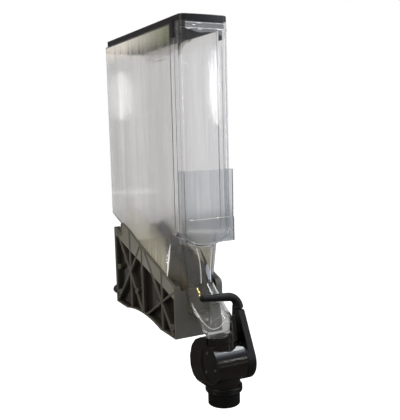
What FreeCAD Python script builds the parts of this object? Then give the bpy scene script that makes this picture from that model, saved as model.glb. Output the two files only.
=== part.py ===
import FreeCAD, Part
import math
import os

# Gravity bin for bulk food: a clear hopper in a ribbed cradle, a hinged lid, and a lever valve below.
# Millimetres, +Z up, front of the bin towards -Y, lever on the +X side.
# Origin: middle of the cradle's front foot, on the shelf that it stands on.

# ---- driving dimensions -------------------------------------------------------------------------

# clear hopper
BIN_WIDTH = 108.0
BIN_WALL = 2.5
RIM_Z = 655.0
BACK_Y = 379.0
BACK_BOTTOM_Z = 237.0
BACK_CORNER = 9.0
SEAM_Y = -18.0
FRONT_Y = -67.0
FRONT_CORNER = 14.0
COLUMN_BOTTOM_Z = 204.0
COLUMN_ARCH = 23.0
CREASE_FRONT_Y = 33.0
CREASE_FRONT_Z = 126.0
THROAT_Y = -45.0
THROAT_HALF = 27.5
THROAT_ROUND_LOW = 6.0
THROAT_ROUND_HIGH = 20.0
FLANK_TOP_Y = 11.0
FLOOR_FRONT_Z = 35.0
FLOOR_FRONT_HALF = 20.0
SPLIT_Z = 192.0

# spout elbow under the throat
ELBOW_Y = -88.0
ELBOW_Z = 49.5
ELBOW_R = 34.0
CHUTE_R = 32.0
CHUTE_SLOPE = 38.0
CHUTE_LENGTH = 118.0
NECK_R = 29.0
NECK_TILT = 10.0
NECK_TOP = 72.0
RIM_DISTANCE = 54.0
BEAD_R = 30.5
BEAD_HEIGHT = 4.0
INSERT_LENGTH = 12.0

# lap band, rim rib and label holder on the front column
LAP_THICK = 1.2
LAP_BACK_Y = -18.0
LAP_FRONT_Y = -37.0
LAP_TOP_Z = 612.0
RIM_RIB_Z = 639.0
RIM_RIB_HEIGHT = 3.0
RIM_RIB_OUT = 0.9
LABEL_WALL = 1.5
LABEL_TOP_Z = 362.0
LABEL_LEDGE_Z = 263.0
LABEL_BOTTOM_Z = 213.0
LABEL_BACK_Y = -41.0
POCKET_DEPTH = 3.0

# lid and hinge
LID_HEIGHT = 12.7
LID_WALL = 2.5
LID_EDGE = 2.0
LID_FRONT_Y = -68.5
LID_BACK_Y = 356.0
LID_BOW = 4.0
PLUG_DEPTH = 12.0
PLUG_WALL = 2.0
PLUG_GAP = 0.8
LID_RIB_COUNT = 5
TAB_WIDTH = 13.0
TAB_THICK = 1.7
TAB_DROP = 31.0
TAB_Y = -30.5
HINGE_PIN_R = 2.0
HINGE_Y = 366.0
HINGE_Z = 648.5
HINGE_LUG_R = 4.6
HINGE_LUG_WIDTH = 14.0
HINGE_LUG_X = 30.0
RAIL_FRONT_Y = 358.0
RAIL_BOTTOM_Z = 640.0

# cradle
CRADLE_WIDTH = 116.0
CRADLE_FRONT_Y = -10.0
CRADLE_BACK_Y = 354.0
PLATE = 3.0
RIB_DEPTH = 15.0
RIB_THICK = 3.0
WEB_THICK = 2.5
PANEL_THICK = 1.6
FOOT_FLANGE = 22.0
LIP_RISE = 4.0
LIP_NOSE_R = 13.0
EAR_Z = 216.0
EAR_Y = 287.0
EAR_LENGTH = 4.0
EAR_RAMP = 50.0
EAR_RUN_OUT = 120.0
EAR_RISE = 6.0
NOTCH_Y = 306.0
NOTCH_Z = 184.0
POST_TOP_Z = 198.0
ARCH_FRONT_Y = 72.0
ARCH_BACK_Y = 279.0
ARCH_RISE = 12.0
BAND_DEPTH = 27.0
BAND_SPREAD = 22.0
BOSS_R = 7.0
BOSS_BORE_R = 4.8
SCREW_R = 2.5
SCREW_LENGTH = 38.0
SCREW_HEAD = 3.0
SCREW_SOCKET_R = 2.0
SCREW_SOCKET_DEPTH = 2.0
BACK_PLATE_Z = 62.0
UPRIGHT_PLACES = [248.5, 173.0, 60.0]
BOSS_PLACES = [(331.0, 96.5), (213.5, 58.0), (85.0, 56.0), (8.5, 22.0), (331.0, 30.0)]
BACK_CROSS = (251.0, 97.5)
BACK_CROSS_ENDS = [(337.0, 188.0), (173.0, 8.0), (179.0, 178.0), (344.0, 10.0)]
FRONT_CROSS = (63.5, 65.0)
FRONT_CROSS_ENDS = [(163.0, 175.0), (4.0, 4.0), (-6.0, 103.0), (163.0, 8.0)]
BUMPER_X = 46.0
BUMPER_Z = 26.0
BUMPER_R = 11.5
BUMPER_NECK_R = 6.5
BUMPER_REACH = 31.0
BUMPER_HEAD = 21.0
BUMPER_TANG = 2.0
BUMPER_BEVEL = 1.5
BUMPER_ROUND = 2.5

# valve
DRUM_Y = -115.0
DRUM_Z = -27.0
DRUM_R = 39.5
DRUM_SIDE = 1.25
CHAMBER_R = 36.0
CHAMBER_LEFT_WALL = 4.0
CHAMBER_RIGHT_WALL = 6.0
LOBE_STEP = 1.0
LOBE_FREE_Y = -60.0
LOBE_CORNER = 18.0
HORN_THICK = 3.6
HORN_RISE = 41.0
HORN_FLARE = 14.0
HORN_FOOT = 10.0
HORN_HALF_WIDTH = 17.0
HORN_TURN = 45.0
OUTLET_Y = -113.0
WINDOW_R = 20.5
OUTLET_NECK_LEDGE = 1.05
OUTLET_NECK_Z = -74.0
TUBE_R = 32.75
TUBE_WALL = 3.5
SPIGOT_STEP = 1.75
TUBE_TOP_Z = -64.0
TUBE_BOTTOM_Z = -112.0
BAG_RING_THICK = 5.25
BAG_RING_Z = -78.5
BAG_RING_HEIGHT = 13.0
BAG_RING_GROOVE = 0.9
RING_SEAT_STEP = 0.75
TUBE_CHAMFER = 0.8
SEAL_WIDTH = 2.4

# gate rotor and its bearings
GATE_THICK = 3.2
GATE_HALF_ANGLE = 38.5
GATE_SIDE_GAP = 2.5
DISC_THICK = 3.0
DISC_HUB_R = 14.0
SHAFT_R = 6.0
BUSH_R = 9.0
COVER_FACE = 3.4
COVER_DISH = 1.0
COVER_RIM = 3.0
COVER_BOSS_R = 13.0
COVER_SKIN = 1.4
COVER_SCREW_RING_R = 24.0
COVER_SCREW_COUNT = 3
COVER_SCREW_HEAD_R = 3.0
COVER_SCREW_R = 1.6
COVER_SCREW_HEAD = 1.3
COVER_SCREW_SLOT = 0.8
COVER_SCREW_FIRST = 68.0
LEVER_TRAVEL = 75.0
STOP_RING_R = 33.5
STOP_PIN_R = 2.0
STOP_PIN_ANGLE = -30.0
STOP_DEPTH = 5.0

# lever
HUB_GAP = 1.0
BLADE_STEP = 5.0
LEVER_THICK = 20.0
ARM_EDGE = 2.5
HUB_R = 39.8
ARM_TOP_Z = 74.0
ARM_TOP_FRONT_Y = -109.0
ARM_TOP_BACK_Y = -83.0
SPRING_RECESS_R = 26.0
SPRING_CORE_R = 12.0
SPRING_RECESS_DEPTH = 9.0
SPRING_STRIP = 0.8
SPRING_WIDTH = 7.0
SPRING_TURNS = 3
GRIP_Y = -95.0
GRIP_R = 8.9
GRIP_POST_R = 11.7
GRIP_TIP_R = 7.2
GRIP_TIP_X = -38.5
GRIP_HEIGHT_Z = 103.5
GRIP_RISE = 0.09
GRIP_BEND_R = 23.0
GRIP_WAIST = 1.4
GRIP_SECTIONS = 5
GRIP_INSET = 8.5
GRIP_NECK_R = 9.0
GRIP_NECK_HEIGHT = 2.5
TANG_R = 5.5
TANG_LENGTH = 14.0
WASHER_R = 10.0
WASHER_THICK = 1.5
HUB_SCREW_HEAD_R = 6.5
HUB_SCREW_HEAD = 4.0
HUB_SCREW_R = 2.5
HUB_SCREW_CROWN = 1.5
HUB_SCREW_LENGTH = 18.0

# clearances
FIT = 0.05
SLIP = 0.3
BEDDING = 0.4

# ---- worked out from them -----------------------------------------------------------------------

HALF = BIN_WIDTH / 2
CRADLE_HALF = CRADLE_WIDTH / 2
WEB_X = -(CRADLE_HALF - RIB_DEPTH)
CREASE_SLOPE = (BACK_BOTTOM_Z - CREASE_FRONT_Z) / (BACK_Y - CREASE_FRONT_Y)
FAR = 1500.0
X_AXIS = FreeCAD.Vector(1, 0, 0)
Z_AXIS = FreeCAD.Vector(0, 0, 1)
ELBOW = FreeCAD.Vector(0, ELBOW_Y, ELBOW_Z)
DRUM = FreeCAD.Vector(0, DRUM_Y, DRUM_Z)
NECK_AXIS = FreeCAD.Vector(0, -math.sin(math.radians(NECK_TILT)), -math.cos(math.radians(NECK_TILT)))
RIM_CENTRE = DRUM - NECK_AXIS * RIM_DISTANCE
NECK_TOP_CENTRE = DRUM - NECK_AXIS * NECK_TOP
INSERT_R = NECK_R - BIN_WALL
INLET_R = INSERT_R - BIN_WALL
COLLAR_R = BEAD_R
DRUM_HALF = TUBE_R + DRUM_SIDE
DRUM_LEFT_X = -DRUM_HALF
DRUM_RIGHT_X = DRUM_HALF
LOBE_HALF = DRUM_HALF - LOBE_STEP
OUTLET_NECK_R = TUBE_R + OUTLET_NECK_LEDGE
SPIGOT_R = TUBE_R - SPIGOT_STEP
BAG_RING_R = TUBE_R + BAG_RING_THICK
RING_SEAT_R = TUBE_R - RING_SEAT_STEP
RING_LOW_Z = BAG_RING_Z - BAG_RING_HEIGHT / 2
CHAMBER_LEFT_X = DRUM_LEFT_X + CHAMBER_LEFT_WALL
CHAMBER_RIGHT_X = DRUM_RIGHT_X - CHAMBER_RIGHT_WALL
GATE_HALF = CHAMBER_RIGHT_X - GATE_SIDE_GAP
HUB_INNER_X = DRUM_RIGHT_X + HUB_GAP
BLADE_INNER_X = HUB_INNER_X + BLADE_STEP
LEVER_OUTER_X = HUB_INNER_X + LEVER_THICK
GRIP_X = LEVER_OUTER_X - GRIP_INSET
BLIND_END_X = CHAMBER_LEFT_X - COVER_FACE + COVER_DISH + COVER_SKIN


# ---- shape helpers ------------------------------------------------------------------------------

def point(x, y, z):
    return FreeCAD.Vector(x, y, z)


def box(x0, x1, y0, y1, z0, z1):
    """A block between two corners."""
    return Part.makeBox(x1 - x0, y1 - y0, z1 - z0, point(x0, y0, z0))


def rod(radius, start, direction, length):
    """A solid cylinder from a start point along a direction."""
    return Part.makeCylinder(radius, length, start, direction)


def pipe(outer, inner, start, direction, length):
    """A hollow cylinder."""
    return rod(outer, start, direction, length).cut(rod(inner, start, direction, length))


def rod_x(radius, x0, x1, y, z):
    """A solid cylinder along X."""
    return rod(radius, point(x0, y, z), X_AXIS, x1 - x0)


def pipe_x(outer, inner, x0, x1, y, z):
    """A hollow cylinder along X."""
    return rod_x(outer, x0, x1, y, z).cut(rod_x(inner, x0, x1, y, z))


def side_face(outline, x):
    """A flat face in a plane of constant X from (y, z) corners."""
    corners = [point(x, y, z) for y, z in outline]
    return Part.Face(Part.makePolygon(corners + corners[:1]))


def side_prism(outline, x0, x1):
    """An outline of (y, z) corners carried along X."""
    return side_face(outline, x0).extrude(point(x1 - x0, 0, 0))


def strip(y0, z0, y1, z1, x0, x1, width):
    """A straight rib of a given width between two (y, z) points, carried along X."""
    run = point(0, y1 - y0, z1 - z0)
    run.normalize()
    across = point(0, -run.z, run.y) * (width / 2)
    outline = [
        (y0 + across.y, z0 + across.z),
        (y1 + across.y, z1 + across.z),
        (y1 - across.y, z1 - across.z),
        (y0 - across.y, z0 - across.z),
    ]
    return side_prism(outline, x0, x1)


def beyond(on_plane, outward):
    """A large block that fills the side of a plane to which its normal points."""
    sheet = Part.makePlane(2 * FAR, 2 * FAR, point(-FAR, -FAR, 0))
    sheet.Placement = FreeCAD.Placement(on_plane, FreeCAD.Rotation(Z_AXIS, outward))
    return sheet.extrude(outward * FAR)


def facet(a, b, c, outward_hint, inset):
    """The block outside the plane through three points, moved inwards by an inset."""
    normal = (b - a).cross(c - a)
    normal.normalize()
    if normal.dot(outward_hint) < 0:
        normal = normal * -1
    return beyond(a - normal * inset, normal)


def edges_where(shape, test):
    """The edges whose two end points and middle all pass a test."""
    found = []
    for edge in shape.Edges:
        middle = edge.valueAt((edge.FirstParameter + edge.LastParameter) / 2)
        if all(test(p) for p in [v.Point for v in edge.Vertexes] + [middle]):
            found.append(edge)
    return found


def near(a, b):
    return abs(a - b) < 1e-6


def joined(shapes):
    """All the shapes as one solid."""
    return shapes[0].multiFuse(shapes[1:]).removeSplitter()


def mirrored(shape):
    """The shape on the other side of the bin's middle plane."""
    return shape.mirror(point(0, 0, 0), X_AXIS)


# ---- clear hopper: one cavity inside one skin, later parted at its bonded seams -------------------

def flank(side, inset):
    """Slanted plane from the side wall's front edge to the throat's front corner."""
    return facet(
        point(side * HALF, FLANK_TOP_Y, COLUMN_BOTTOM_Z),
        point(side * HALF, CREASE_FRONT_Y, CREASE_FRONT_Z),
        point(side * THROAT_HALF, THROAT_Y, COLUMN_BOTTOM_Z),
        point(side, -1, 0),
        inset,
    )


def below_floor(inset):
    """Everything under the sloped floor strip and its two folded side facets."""
    back_left = point(-HALF, BACK_Y, BACK_BOTTOM_Z)
    back_right = point(HALF, BACK_Y, BACK_BOTTOM_Z)
    front_left = point(-FLOOR_FRONT_HALF, THROAT_Y, FLOOR_FRONT_Z)
    cutters = [facet(back_left, back_right, front_left, point(0, 0, -1), inset)]
    for side in (-1, 1):
        cutters.append(facet(
            point(side * HALF, BACK_Y, BACK_BOTTOM_Z),
            point(side * HALF, CREASE_FRONT_Y, CREASE_FRONT_Z),
            point(side * FLOOR_FRONT_HALF, THROAT_Y, FLOOR_FRONT_Z),
            point(side, 0, -1),
            inset,
        ))
    return cutters


def arch(inset, y):
    """The curve of the column's arched bottom, seen from the front, moved inwards by an inset."""
    half = HALF - inset
    low = COLUMN_BOTTOM_Z + inset
    return Part.Arc(point(-half, y, low + COLUMN_ARCH), point(0, y, low), point(half, y, low + COLUMN_ARCH))


def under_arch(inset):
    """Everything below the arched bottom, carried back under the main chamber."""
    half = HALF - inset
    shoulder = COLUMN_BOTTOM_Z + inset + COLUMN_ARCH
    outline = Part.Wire([
        arch(inset, -FAR).toShape(),
        Part.makeLine(point(half, -FAR, shoulder), point(half, -FAR, -FAR)),
        Part.makeLine(point(half, -FAR, -FAR), point(-half, -FAR, -FAR)),
        Part.makeLine(point(-half, -FAR, -FAR), point(-half, -FAR, shoulder)),
    ])
    return Part.Face(outline).extrude(point(0, 2 * FAR, 0))


def chamber(inset, top):
    """The flat-sided main chamber, with rounded back corners and a folded floor."""
    half = HALF - inset
    block = box(-half, half, SEAM_Y - max(inset, 0), BACK_Y - inset, 0, top)
    corners = edges_where(block, lambda p: near(p.y, BACK_Y - inset) and near(abs(p.x), half))
    block = block.makeFillet(BACK_CORNER - inset, corners)
    for cutter in below_floor(inset):
        block = block.cut(cutter)
    for side in (-1, 1):
        block = block.cut(flank(side, inset).common(under_arch(inset)))
    return block


def prow_radius(edge_end, inset):
    """Rounding of the throat's front corners, which grows with height from the floor to the column."""
    share = (edge_end.z - FLOOR_FRONT_Z) / (COLUMN_BOTTOM_Z - FLOOR_FRONT_Z)
    return THROAT_ROUND_LOW + (THROAT_ROUND_HIGH - THROAT_ROUND_LOW) * share - inset


def throat(inset, top):
    """The narrow prow under the front column, its two front corners rounded."""
    half = HALF - inset
    block = box(-half, half, THROAT_Y + inset, 2 * CREASE_FRONT_Y, 0, top)
    for cutter in below_floor(inset) + [flank(-1, inset), flank(1, inset)]:
        block = block.cut(cutter)
    for side in (-1, 1):
        corner = edges_where(block, lambda p: near(p.y, THROAT_Y + inset) and p.x * side > FIT)
        start, end = [corner[0].valueAt(p) for p in (corner[0].FirstParameter, corner[0].LastParameter)]
        block = block.Solids[0].makeFillet(prow_radius(start, inset), prow_radius(end, inset), corner)
    return block


def column(inset, top):
    """The front column: a rounded front over an arched, rounded bottom."""
    half = HALF - inset
    front = FRONT_Y + inset
    shoulder = COLUMN_BOTTOM_Z + inset + COLUMN_ARCH
    outline = Part.Wire([
        arch(inset, front).toShape(),
        Part.makeLine(point(half, front, shoulder), point(half, front, top)),
        Part.makeLine(point(half, front, top), point(-half, front, top)),
        Part.makeLine(point(-half, front, top), point(-half, front, shoulder)),
    ])
    depth = SEAM_Y + max(inset, 0) - front
    block = Part.Face(outline).extrude(point(0, depth, 0))
    sides = edges_where(block, lambda p: near(p.z, shoulder) and near(abs(p.x), half))
    block = block.makeFillet(FRONT_CORNER - inset, sides)
    loop = edges_where(block, lambda p: near(p.y, front) and (p.z < top - 1 or near(abs(p.x), half)))
    return block.makeFillet(FRONT_CORNER - inset, loop)


def elbow(inset):
    """The round elbow: a sloping chute, a ball at the turn, and the neck that enters the valve."""
    slope = math.radians(CHUTE_SLOPE)
    uphill = point(0, math.cos(slope), math.sin(slope))
    neck_length = NECK_TOP - RIM_DISTANCE - max(inset, 0)
    return joined([
        rod(CHUTE_R - inset, ELBOW, uphill, CHUTE_LENGTH - 2 * max(inset, 0)),
        Part.makeSphere(ELBOW_R - inset, ELBOW),
        Part.makeSphere(NECK_R - inset, NECK_TOP_CENTRE),
        rod(NECK_R - inset, NECK_TOP_CENTRE, NECK_AXIS, neck_length),
    ])


def hopper_outside(inset):
    """The hopper's outer form, or the same form moved in or out."""
    top = RIM_Z
    return joined([chamber(inset, top), throat(inset, COLUMN_BOTTOM_Z + 1), column(inset, top), elbow(inset)])


def hopper_skin():
    """The whole clear skin, open at the rim and at the neck."""
    above = RIM_Z + 10
    cavity = joined([
        chamber(BIN_WALL, above),
        throat(BIN_WALL, COLUMN_BOTTOM_Z + 2 * FRONT_CORNER),
        column(BIN_WALL, above),
        elbow(BIN_WALL),
    ])
    bore = rod(INLET_R, NECK_TOP_CENTRE, NECK_AXIS, NECK_TOP - RIM_DISTANCE + INSERT_LENGTH + 1)
    outside = joined([
        hopper_outside(0),
        rod(BEAD_R, RIM_CENTRE - NECK_AXIS * BEAD_HEIGHT, NECK_AXIS, BEAD_HEIGHT),
        rod(INSERT_R, RIM_CENTRE - NECK_AXIS, NECK_AXIS, INSERT_LENGTH + 1),
    ])
    return outside.cut(cavity).cut(bore)


def front_region():
    """The space of the front column piece."""
    return box(-HALF - 9, HALF + 9, FRONT_Y - 9, SEAM_Y, SPLIT_Z, RIM_Z)


def spout_region():
    """The space of the spout piece."""
    return box(-FAR, FAR, -FAR, SEAM_Y, -FAR, SPLIT_Z)


def lap_bands():
    """Raised bonding bands down both sides of the front column."""
    low = COLUMN_BOTTOM_Z + COLUMN_ARCH + FRONT_CORNER
    left = box(-HALF - LAP_THICK, -HALF, LAP_FRONT_Y, LAP_BACK_Y, low, LAP_TOP_Z)
    return [left, mirrored(left)]


def rim_rib():
    """A fine rib round the front column under the lid."""
    outer = column(-RIM_RIB_OUT, RIM_Z)
    layer = box(-FAR, FAR, -FAR, TAB_Y - TAB_WIDTH, RIM_RIB_Z, RIM_RIB_Z + RIM_RIB_HEIGHT)
    return outer.common(layer).cut(column(0, RIM_Z))


# ---- label holder ---------------------------------------------------------------------------------

def label_holder():
    """A clear sleeve hugging the column: a flat front, two side returns and a lower pocket."""
    inner_x = HALF + SLIP
    inner_y = FRONT_Y - SLIP
    outer_x = inner_x + LABEL_WALL
    outer_y = inner_y - LABEL_WALL
    sleeve = box(-outer_x, outer_x, outer_y, LABEL_BACK_Y, LABEL_BOTTOM_Z, LABEL_TOP_Z)
    hollow = box(-inner_x, inner_x, inner_y, LABEL_BACK_Y + 1, LABEL_BOTTOM_Z - 1, LABEL_TOP_Z + 1)
    return sleeve.cut(hollow)


def label_pocket():
    """A card pocket that stands out from the sleeve's lower front, open at its top."""
    back_y = FRONT_Y - SLIP - LABEL_WALL
    outer_x = HALF + SLIP + LABEL_WALL
    shell = box(-outer_x, outer_x, back_y - POCKET_DEPTH, back_y, LABEL_BOTTOM_Z, LABEL_LEDGE_Z)
    slot = box(
        -outer_x + LABEL_WALL, outer_x - LABEL_WALL,
        back_y - POCKET_DEPTH + LABEL_WALL, back_y,
        LABEL_BOTTOM_Z + LABEL_WALL, LABEL_LEDGE_Z + 1,
    )
    return shell.cut(slot)


# ---- lid and hinge --------------------------------------------------------------------------------

def lid_outline(inset, front, z):
    """The lid's plan: straight sides, square back and a slightly bowed front."""
    half = HALF - inset
    back = LID_BACK_Y - inset
    shoulder = front + LID_BOW
    bow = Part.Arc(point(-half, shoulder, z), point(0, front, z), point(half, shoulder, z))
    return Part.Face(Part.Wire([
        bow.toShape(),
        Part.makeLine(point(half, shoulder, z), point(half, back, z)),
        Part.makeLine(point(half, back, z), point(-half, back, z)),
        Part.makeLine(point(-half, back, z), point(-half, shoulder, z)),
    ]))


def lid_block(inset, front, z0, z1):
    """A solid of the lid's plan with its front corners rounded."""
    block = lid_outline(inset, front, z0).extrude(point(0, 0, z1 - z0))
    shoulder = front + LID_BOW
    corners = edges_where(block, lambda p: near(abs(p.x), HALF - inset) and near(p.y, shoulder))
    return block.makeFillet(FRONT_CORNER - inset, corners)


def lid():
    """A cap with a plug skirt that drops into the rim, stiffening ribs, side tabs and hinge lugs."""
    low = RIM_Z + SLIP
    high = low + LID_HEIGHT
    roof = high - LID_WALL
    cap = lid_block(0, LID_FRONT_Y, low, high)
    top_edges = edges_where(cap, lambda p: near(p.z, high))
    cap = cap.makeFillet(LID_EDGE, top_edges)
    cap = cap.cut(lid_block(LID_WALL, LID_FRONT_Y + LID_WALL, low - 1, roof))
    plug_inset = BIN_WALL + PLUG_GAP
    plug_front = FRONT_Y + plug_inset
    plug = lid_block(plug_inset, plug_front, low - PLUG_DEPTH, roof)
    plug = plug.cut(lid_block(plug_inset + PLUG_WALL, plug_front + PLUG_WALL, low - PLUG_DEPTH - 1, roof))
    parts = [cap, plug]
    first = LID_FRONT_Y + FRONT_CORNER
    pitch = (LID_BACK_Y - first) / (LID_RIB_COUNT + 1)
    rib_half = HALF - plug_inset - PLUG_WALL / 2
    for number in range(1, LID_RIB_COUNT + 1):
        y = first + number * pitch
        parts.append(box(-rib_half, rib_half, y - PLUG_WALL / 2, y + PLUG_WALL / 2, low, roof))
    for side in (-1, 1):
        parts.append(lid_tab(side, low))
        parts.append(hinge_lug(side))
    solid = joined(parts)
    return solid.cut(rod_x(HINGE_PIN_R + FIT, -HALF, HALF, HINGE_Y, HINGE_Z))


def lid_tab(side, low):
    """A thin snap tab that hangs from the lid's edge over the column's side."""
    near_x = HALF + SLIP
    x0, x1 = sorted((side * near_x, side * (near_x + TAB_THICK)))
    root_x0, root_x1 = sorted((side * (HALF - LID_WALL), side * (near_x + TAB_THICK)))
    y0 = TAB_Y - TAB_WIDTH / 2
    y1 = TAB_Y + TAB_WIDTH / 2
    leaf = box(x0, x1, y0, y1, low - TAB_DROP, low + LID_WALL)
    root = box(root_x0, root_x1, y0, y1, low + SLIP, low + LID_WALL)
    return leaf.fuse(root)


def hinge_lug(side):
    """A knuckle that reaches from the lid's back edge to the hinge pin."""
    x0 = side * HINGE_LUG_X - HINGE_LUG_WIDTH / 2
    x1 = x0 + HINGE_LUG_WIDTH
    low = RIM_Z + SLIP
    diagonal = HINGE_LUG_R * math.sqrt(0.5)
    arm = side_prism([
        (LID_BACK_Y - LID_WALL, low),
        (LID_BACK_Y - LID_WALL, low + HINGE_LUG_R),
        (LID_BACK_Y, low + HINGE_LUG_R),
        (HINGE_Y + diagonal / 2, HINGE_Z + diagonal),
        (HINGE_Y - diagonal, HINGE_Z - diagonal),
    ], x0, x1)
    return arm.fuse(rod_x(HINGE_LUG_R, x0, x1, HINGE_Y, HINGE_Z))


def hinge_rail():
    """A bar inside the back of the rim, slotted for the lid's knuckles and bored for their pin."""
    half = HALF - BIN_WALL - SLIP
    back = BACK_Y - BIN_WALL - SLIP
    bar = box(-half, half, RAIL_FRONT_Y, back, RAIL_BOTTOM_Z, RIM_Z)
    corners = edges_where(bar, lambda p: near(p.y, back) and near(abs(p.x), half))
    bar = bar.makeFillet(BACK_CORNER - BIN_WALL, corners)
    reach = HINGE_LUG_R + 2 * SLIP
    for side in (-1, 1):
        x0 = side * HINGE_LUG_X - HINGE_LUG_WIDTH / 2 - SLIP
        slot = box(x0, x0 + HINGE_LUG_WIDTH + 2 * SLIP, RAIL_FRONT_Y - 1, BACK_Y, HINGE_Z - reach, RIM_Z + 1)
        bar = bar.cut(slot)
    return bar.cut(rod_x(HINGE_PIN_R + FIT, -HALF, HALF, HINGE_Y, HINGE_Z))


def hinge_pin():
    """The lid's hinge pin."""
    half = HALF - BIN_WALL - BACK_CORNER
    return rod_x(HINGE_PIN_R, -half, half, HINGE_Y, HINGE_Z)


# ---- cradle ---------------------------------------------------------------------------------------

def crease_z(y):
    """Height of the hopper's side crease, which the cradle's lip follows."""
    return CREASE_FRONT_Z + (y - CREASE_FRONT_Y) * CREASE_SLOPE


def foot_edge():
    """The cradle's lower edge: a flat front foot, a shallow arch and a flat back foot."""
    mid = (ARCH_FRONT_Y + ARCH_BACK_Y) / 2
    arc = Part.Arc(point(0, ARCH_FRONT_Y, 0), point(0, mid, ARCH_RISE), point(0, ARCH_BACK_Y, 0))
    return [
        Part.makeLine(point(0, CRADLE_FRONT_Y, 0), point(0, ARCH_FRONT_Y, 0)),
        arc.toShape(),
        Part.makeLine(point(0, ARCH_BACK_Y, 0), point(0, CRADLE_BACK_Y, 0)),
    ]


def cradle_outline():
    """The closed side outline of one cradle wall."""
    top = [
        (CRADLE_BACK_Y, 0),
        (CRADLE_BACK_Y, POST_TOP_Z),
        (CRADLE_BACK_Y - PLATE, POST_TOP_Z + 1),
        (NOTCH_Y, NOTCH_Z),
        (NOTCH_Y - EAR_LENGTH / 2, EAR_Z - EAR_LENGTH),
        (EAR_Y + EAR_LENGTH, EAR_Z),
        (EAR_Y, EAR_Z),
        (EAR_Y - EAR_RAMP, crease_z(EAR_Y - EAR_RAMP) + LIP_RISE + EAR_RISE),
        (EAR_Y - EAR_RUN_OUT, crease_z(EAR_Y - EAR_RUN_OUT) + LIP_RISE),
        (CRADLE_FRONT_Y, crease_z(CRADLE_FRONT_Y) + LIP_RISE),
        (CRADLE_FRONT_Y, 0),
    ]
    corners = [point(0, y, z) for y, z in top]
    return Part.Wire(foot_edge() + Part.makePolygon(corners).Edges)


def wall_slab(x0, x1, inset):
    """The cradle's side outline as a slab, optionally drawn in from its edge."""
    wire = cradle_outline()
    if inset:
        wire = wire.makeOffset2D(-inset)
    face = Part.Face(wire)
    face.translate(point(x0, 0, 0))
    slab = face.extrude(point(x1 - x0, 0, 0))
    nose = edges_where(slab, lambda p: near(p.y, CRADLE_FRONT_Y + inset) and p.z > crease_z(p.y))
    across = [edge for edge in nose if near(abs(edge.tangentAt(edge.FirstParameter).x), 1)]
    return slab.makeFillet(LIP_NOSE_R - inset, across)


def rib_lines():
    """The ribs of one wall: two crossings, each with four arms, and the uprights from foot to lip."""
    arms = [(BACK_CROSS, end) for end in BACK_CROSS_ENDS] + [(FRONT_CROSS, end) for end in FRONT_CROSS_ENDS]
    uprights = [((y, 0.0), (y, crease_z(y) + LIP_RISE + EAR_RISE)) for y in UPRIGHT_PLACES]
    return arms + uprights


def band_edge():
    """The region above the lower edge of the light band under the lip."""
    return [
        (CRADLE_FRONT_Y - 1, crease_z(CRADLE_FRONT_Y) - BAND_DEPTH),
        (CRADLE_BACK_Y + 1, crease_z(CRADLE_BACK_Y) - BAND_DEPTH - BAND_SPREAD),
        (CRADLE_BACK_Y + 1, FAR),
        (CRADLE_FRONT_Y - 1, FAR),
    ]


def cradle_wall():
    """One side wall: a deep web below, a shallow panel under the lip, a rim and crossing ribs."""
    inner_x = -HALF - BEDDING
    rim = wall_slab(-CRADLE_HALF, WEB_X, 0).cut(wall_slab(-CRADLE_HALF - 1, WEB_X + 1, RIB_THICK))
    above = side_prism(band_edge(), -CRADLE_HALF - 1, 0)
    panel = wall_slab(inner_x - PANEL_THICK, inner_x, 0).common(above)
    ledge = wall_slab(inner_x - PANEL_THICK, WEB_X + WEB_THICK, 0).common(
        strip(
            CRADLE_FRONT_Y - 1, crease_z(CRADLE_FRONT_Y) - BAND_DEPTH,
            CRADLE_BACK_Y + 1, crease_z(CRADLE_BACK_Y) - BAND_DEPTH - BAND_SPREAD,
            -CRADLE_HALF, 0, WEB_THICK,
        )
    )
    web = wall_slab(WEB_X, WEB_X + WEB_THICK, 0).cut(above)
    ribs = [
        strip(y0, z0, y1, z1, -CRADLE_HALF, WEB_X + 0.5, RIB_THICK)
        for (y0, z0), (y1, z1) in rib_lines()
    ]
    inside = wall_slab(-CRADLE_HALF, WEB_X + 0.5, 0)
    lattice = joined(ribs).common(inside)
    return joined([rim, panel, ledge, web, lattice])


def cradle_half(hopper_space, pilot_r):
    """The left half: wall, front and back plates, foot flanges, cross walls and screw bosses."""
    front_top = crease_z(CRADLE_FRONT_Y) + LIP_RISE - LIP_NOSE_R
    parts = [
        cradle_wall(),
        box(-CRADLE_HALF, 0, CRADLE_FRONT_Y, CRADLE_FRONT_Y + PLATE, 0, front_top),
        box(-CRADLE_HALF, 0, CRADLE_BACK_Y - PLATE, CRADLE_BACK_Y, 0, BACK_PLATE_Z),
        box(-CRADLE_HALF, 0, CRADLE_FRONT_Y, -2 * CRADLE_FRONT_Y, 0, PLATE),
        box(-CRADLE_HALF, -CRADLE_HALF + FOOT_FLANGE, CRADLE_FRONT_Y, ARCH_FRONT_Y, 0, PLATE),
        box(-CRADLE_HALF, -CRADLE_HALF + FOOT_FLANGE, ARCH_BACK_Y, CRADLE_BACK_Y, 0, PLATE),
    ]
    for y in UPRIGHT_PLACES:
        low = crease_z(y) / 3
        parts.append(box(WEB_X, 0, y - RIB_THICK / 2, y + RIB_THICK / 2, low, crease_z(y)))
    for y, z in BOSS_PLACES:
        parts.append(rod_x(BOSS_R, -CRADLE_HALF, 0, y, z))
    half = joined(parts).cut(hopper_space)
    for y, z in BOSS_PLACES:
        half = half.cut(rod_x(BOSS_BORE_R, -CRADLE_HALF - 1, -SCREW_LENGTH / 2, y, z))
        half = half.cut(rod_x(pilot_r, -CRADLE_HALF, 1, y, z))
    bumper_hole = rod(BUMPER_NECK_R + FIT, point(-BUMPER_X, CRADLE_BACK_Y - 9, BUMPER_Z), point(0, 1, 0), 10)
    return max(half.cut(bumper_hole).Solids, key=lambda solid: solid.Volume)


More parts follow.
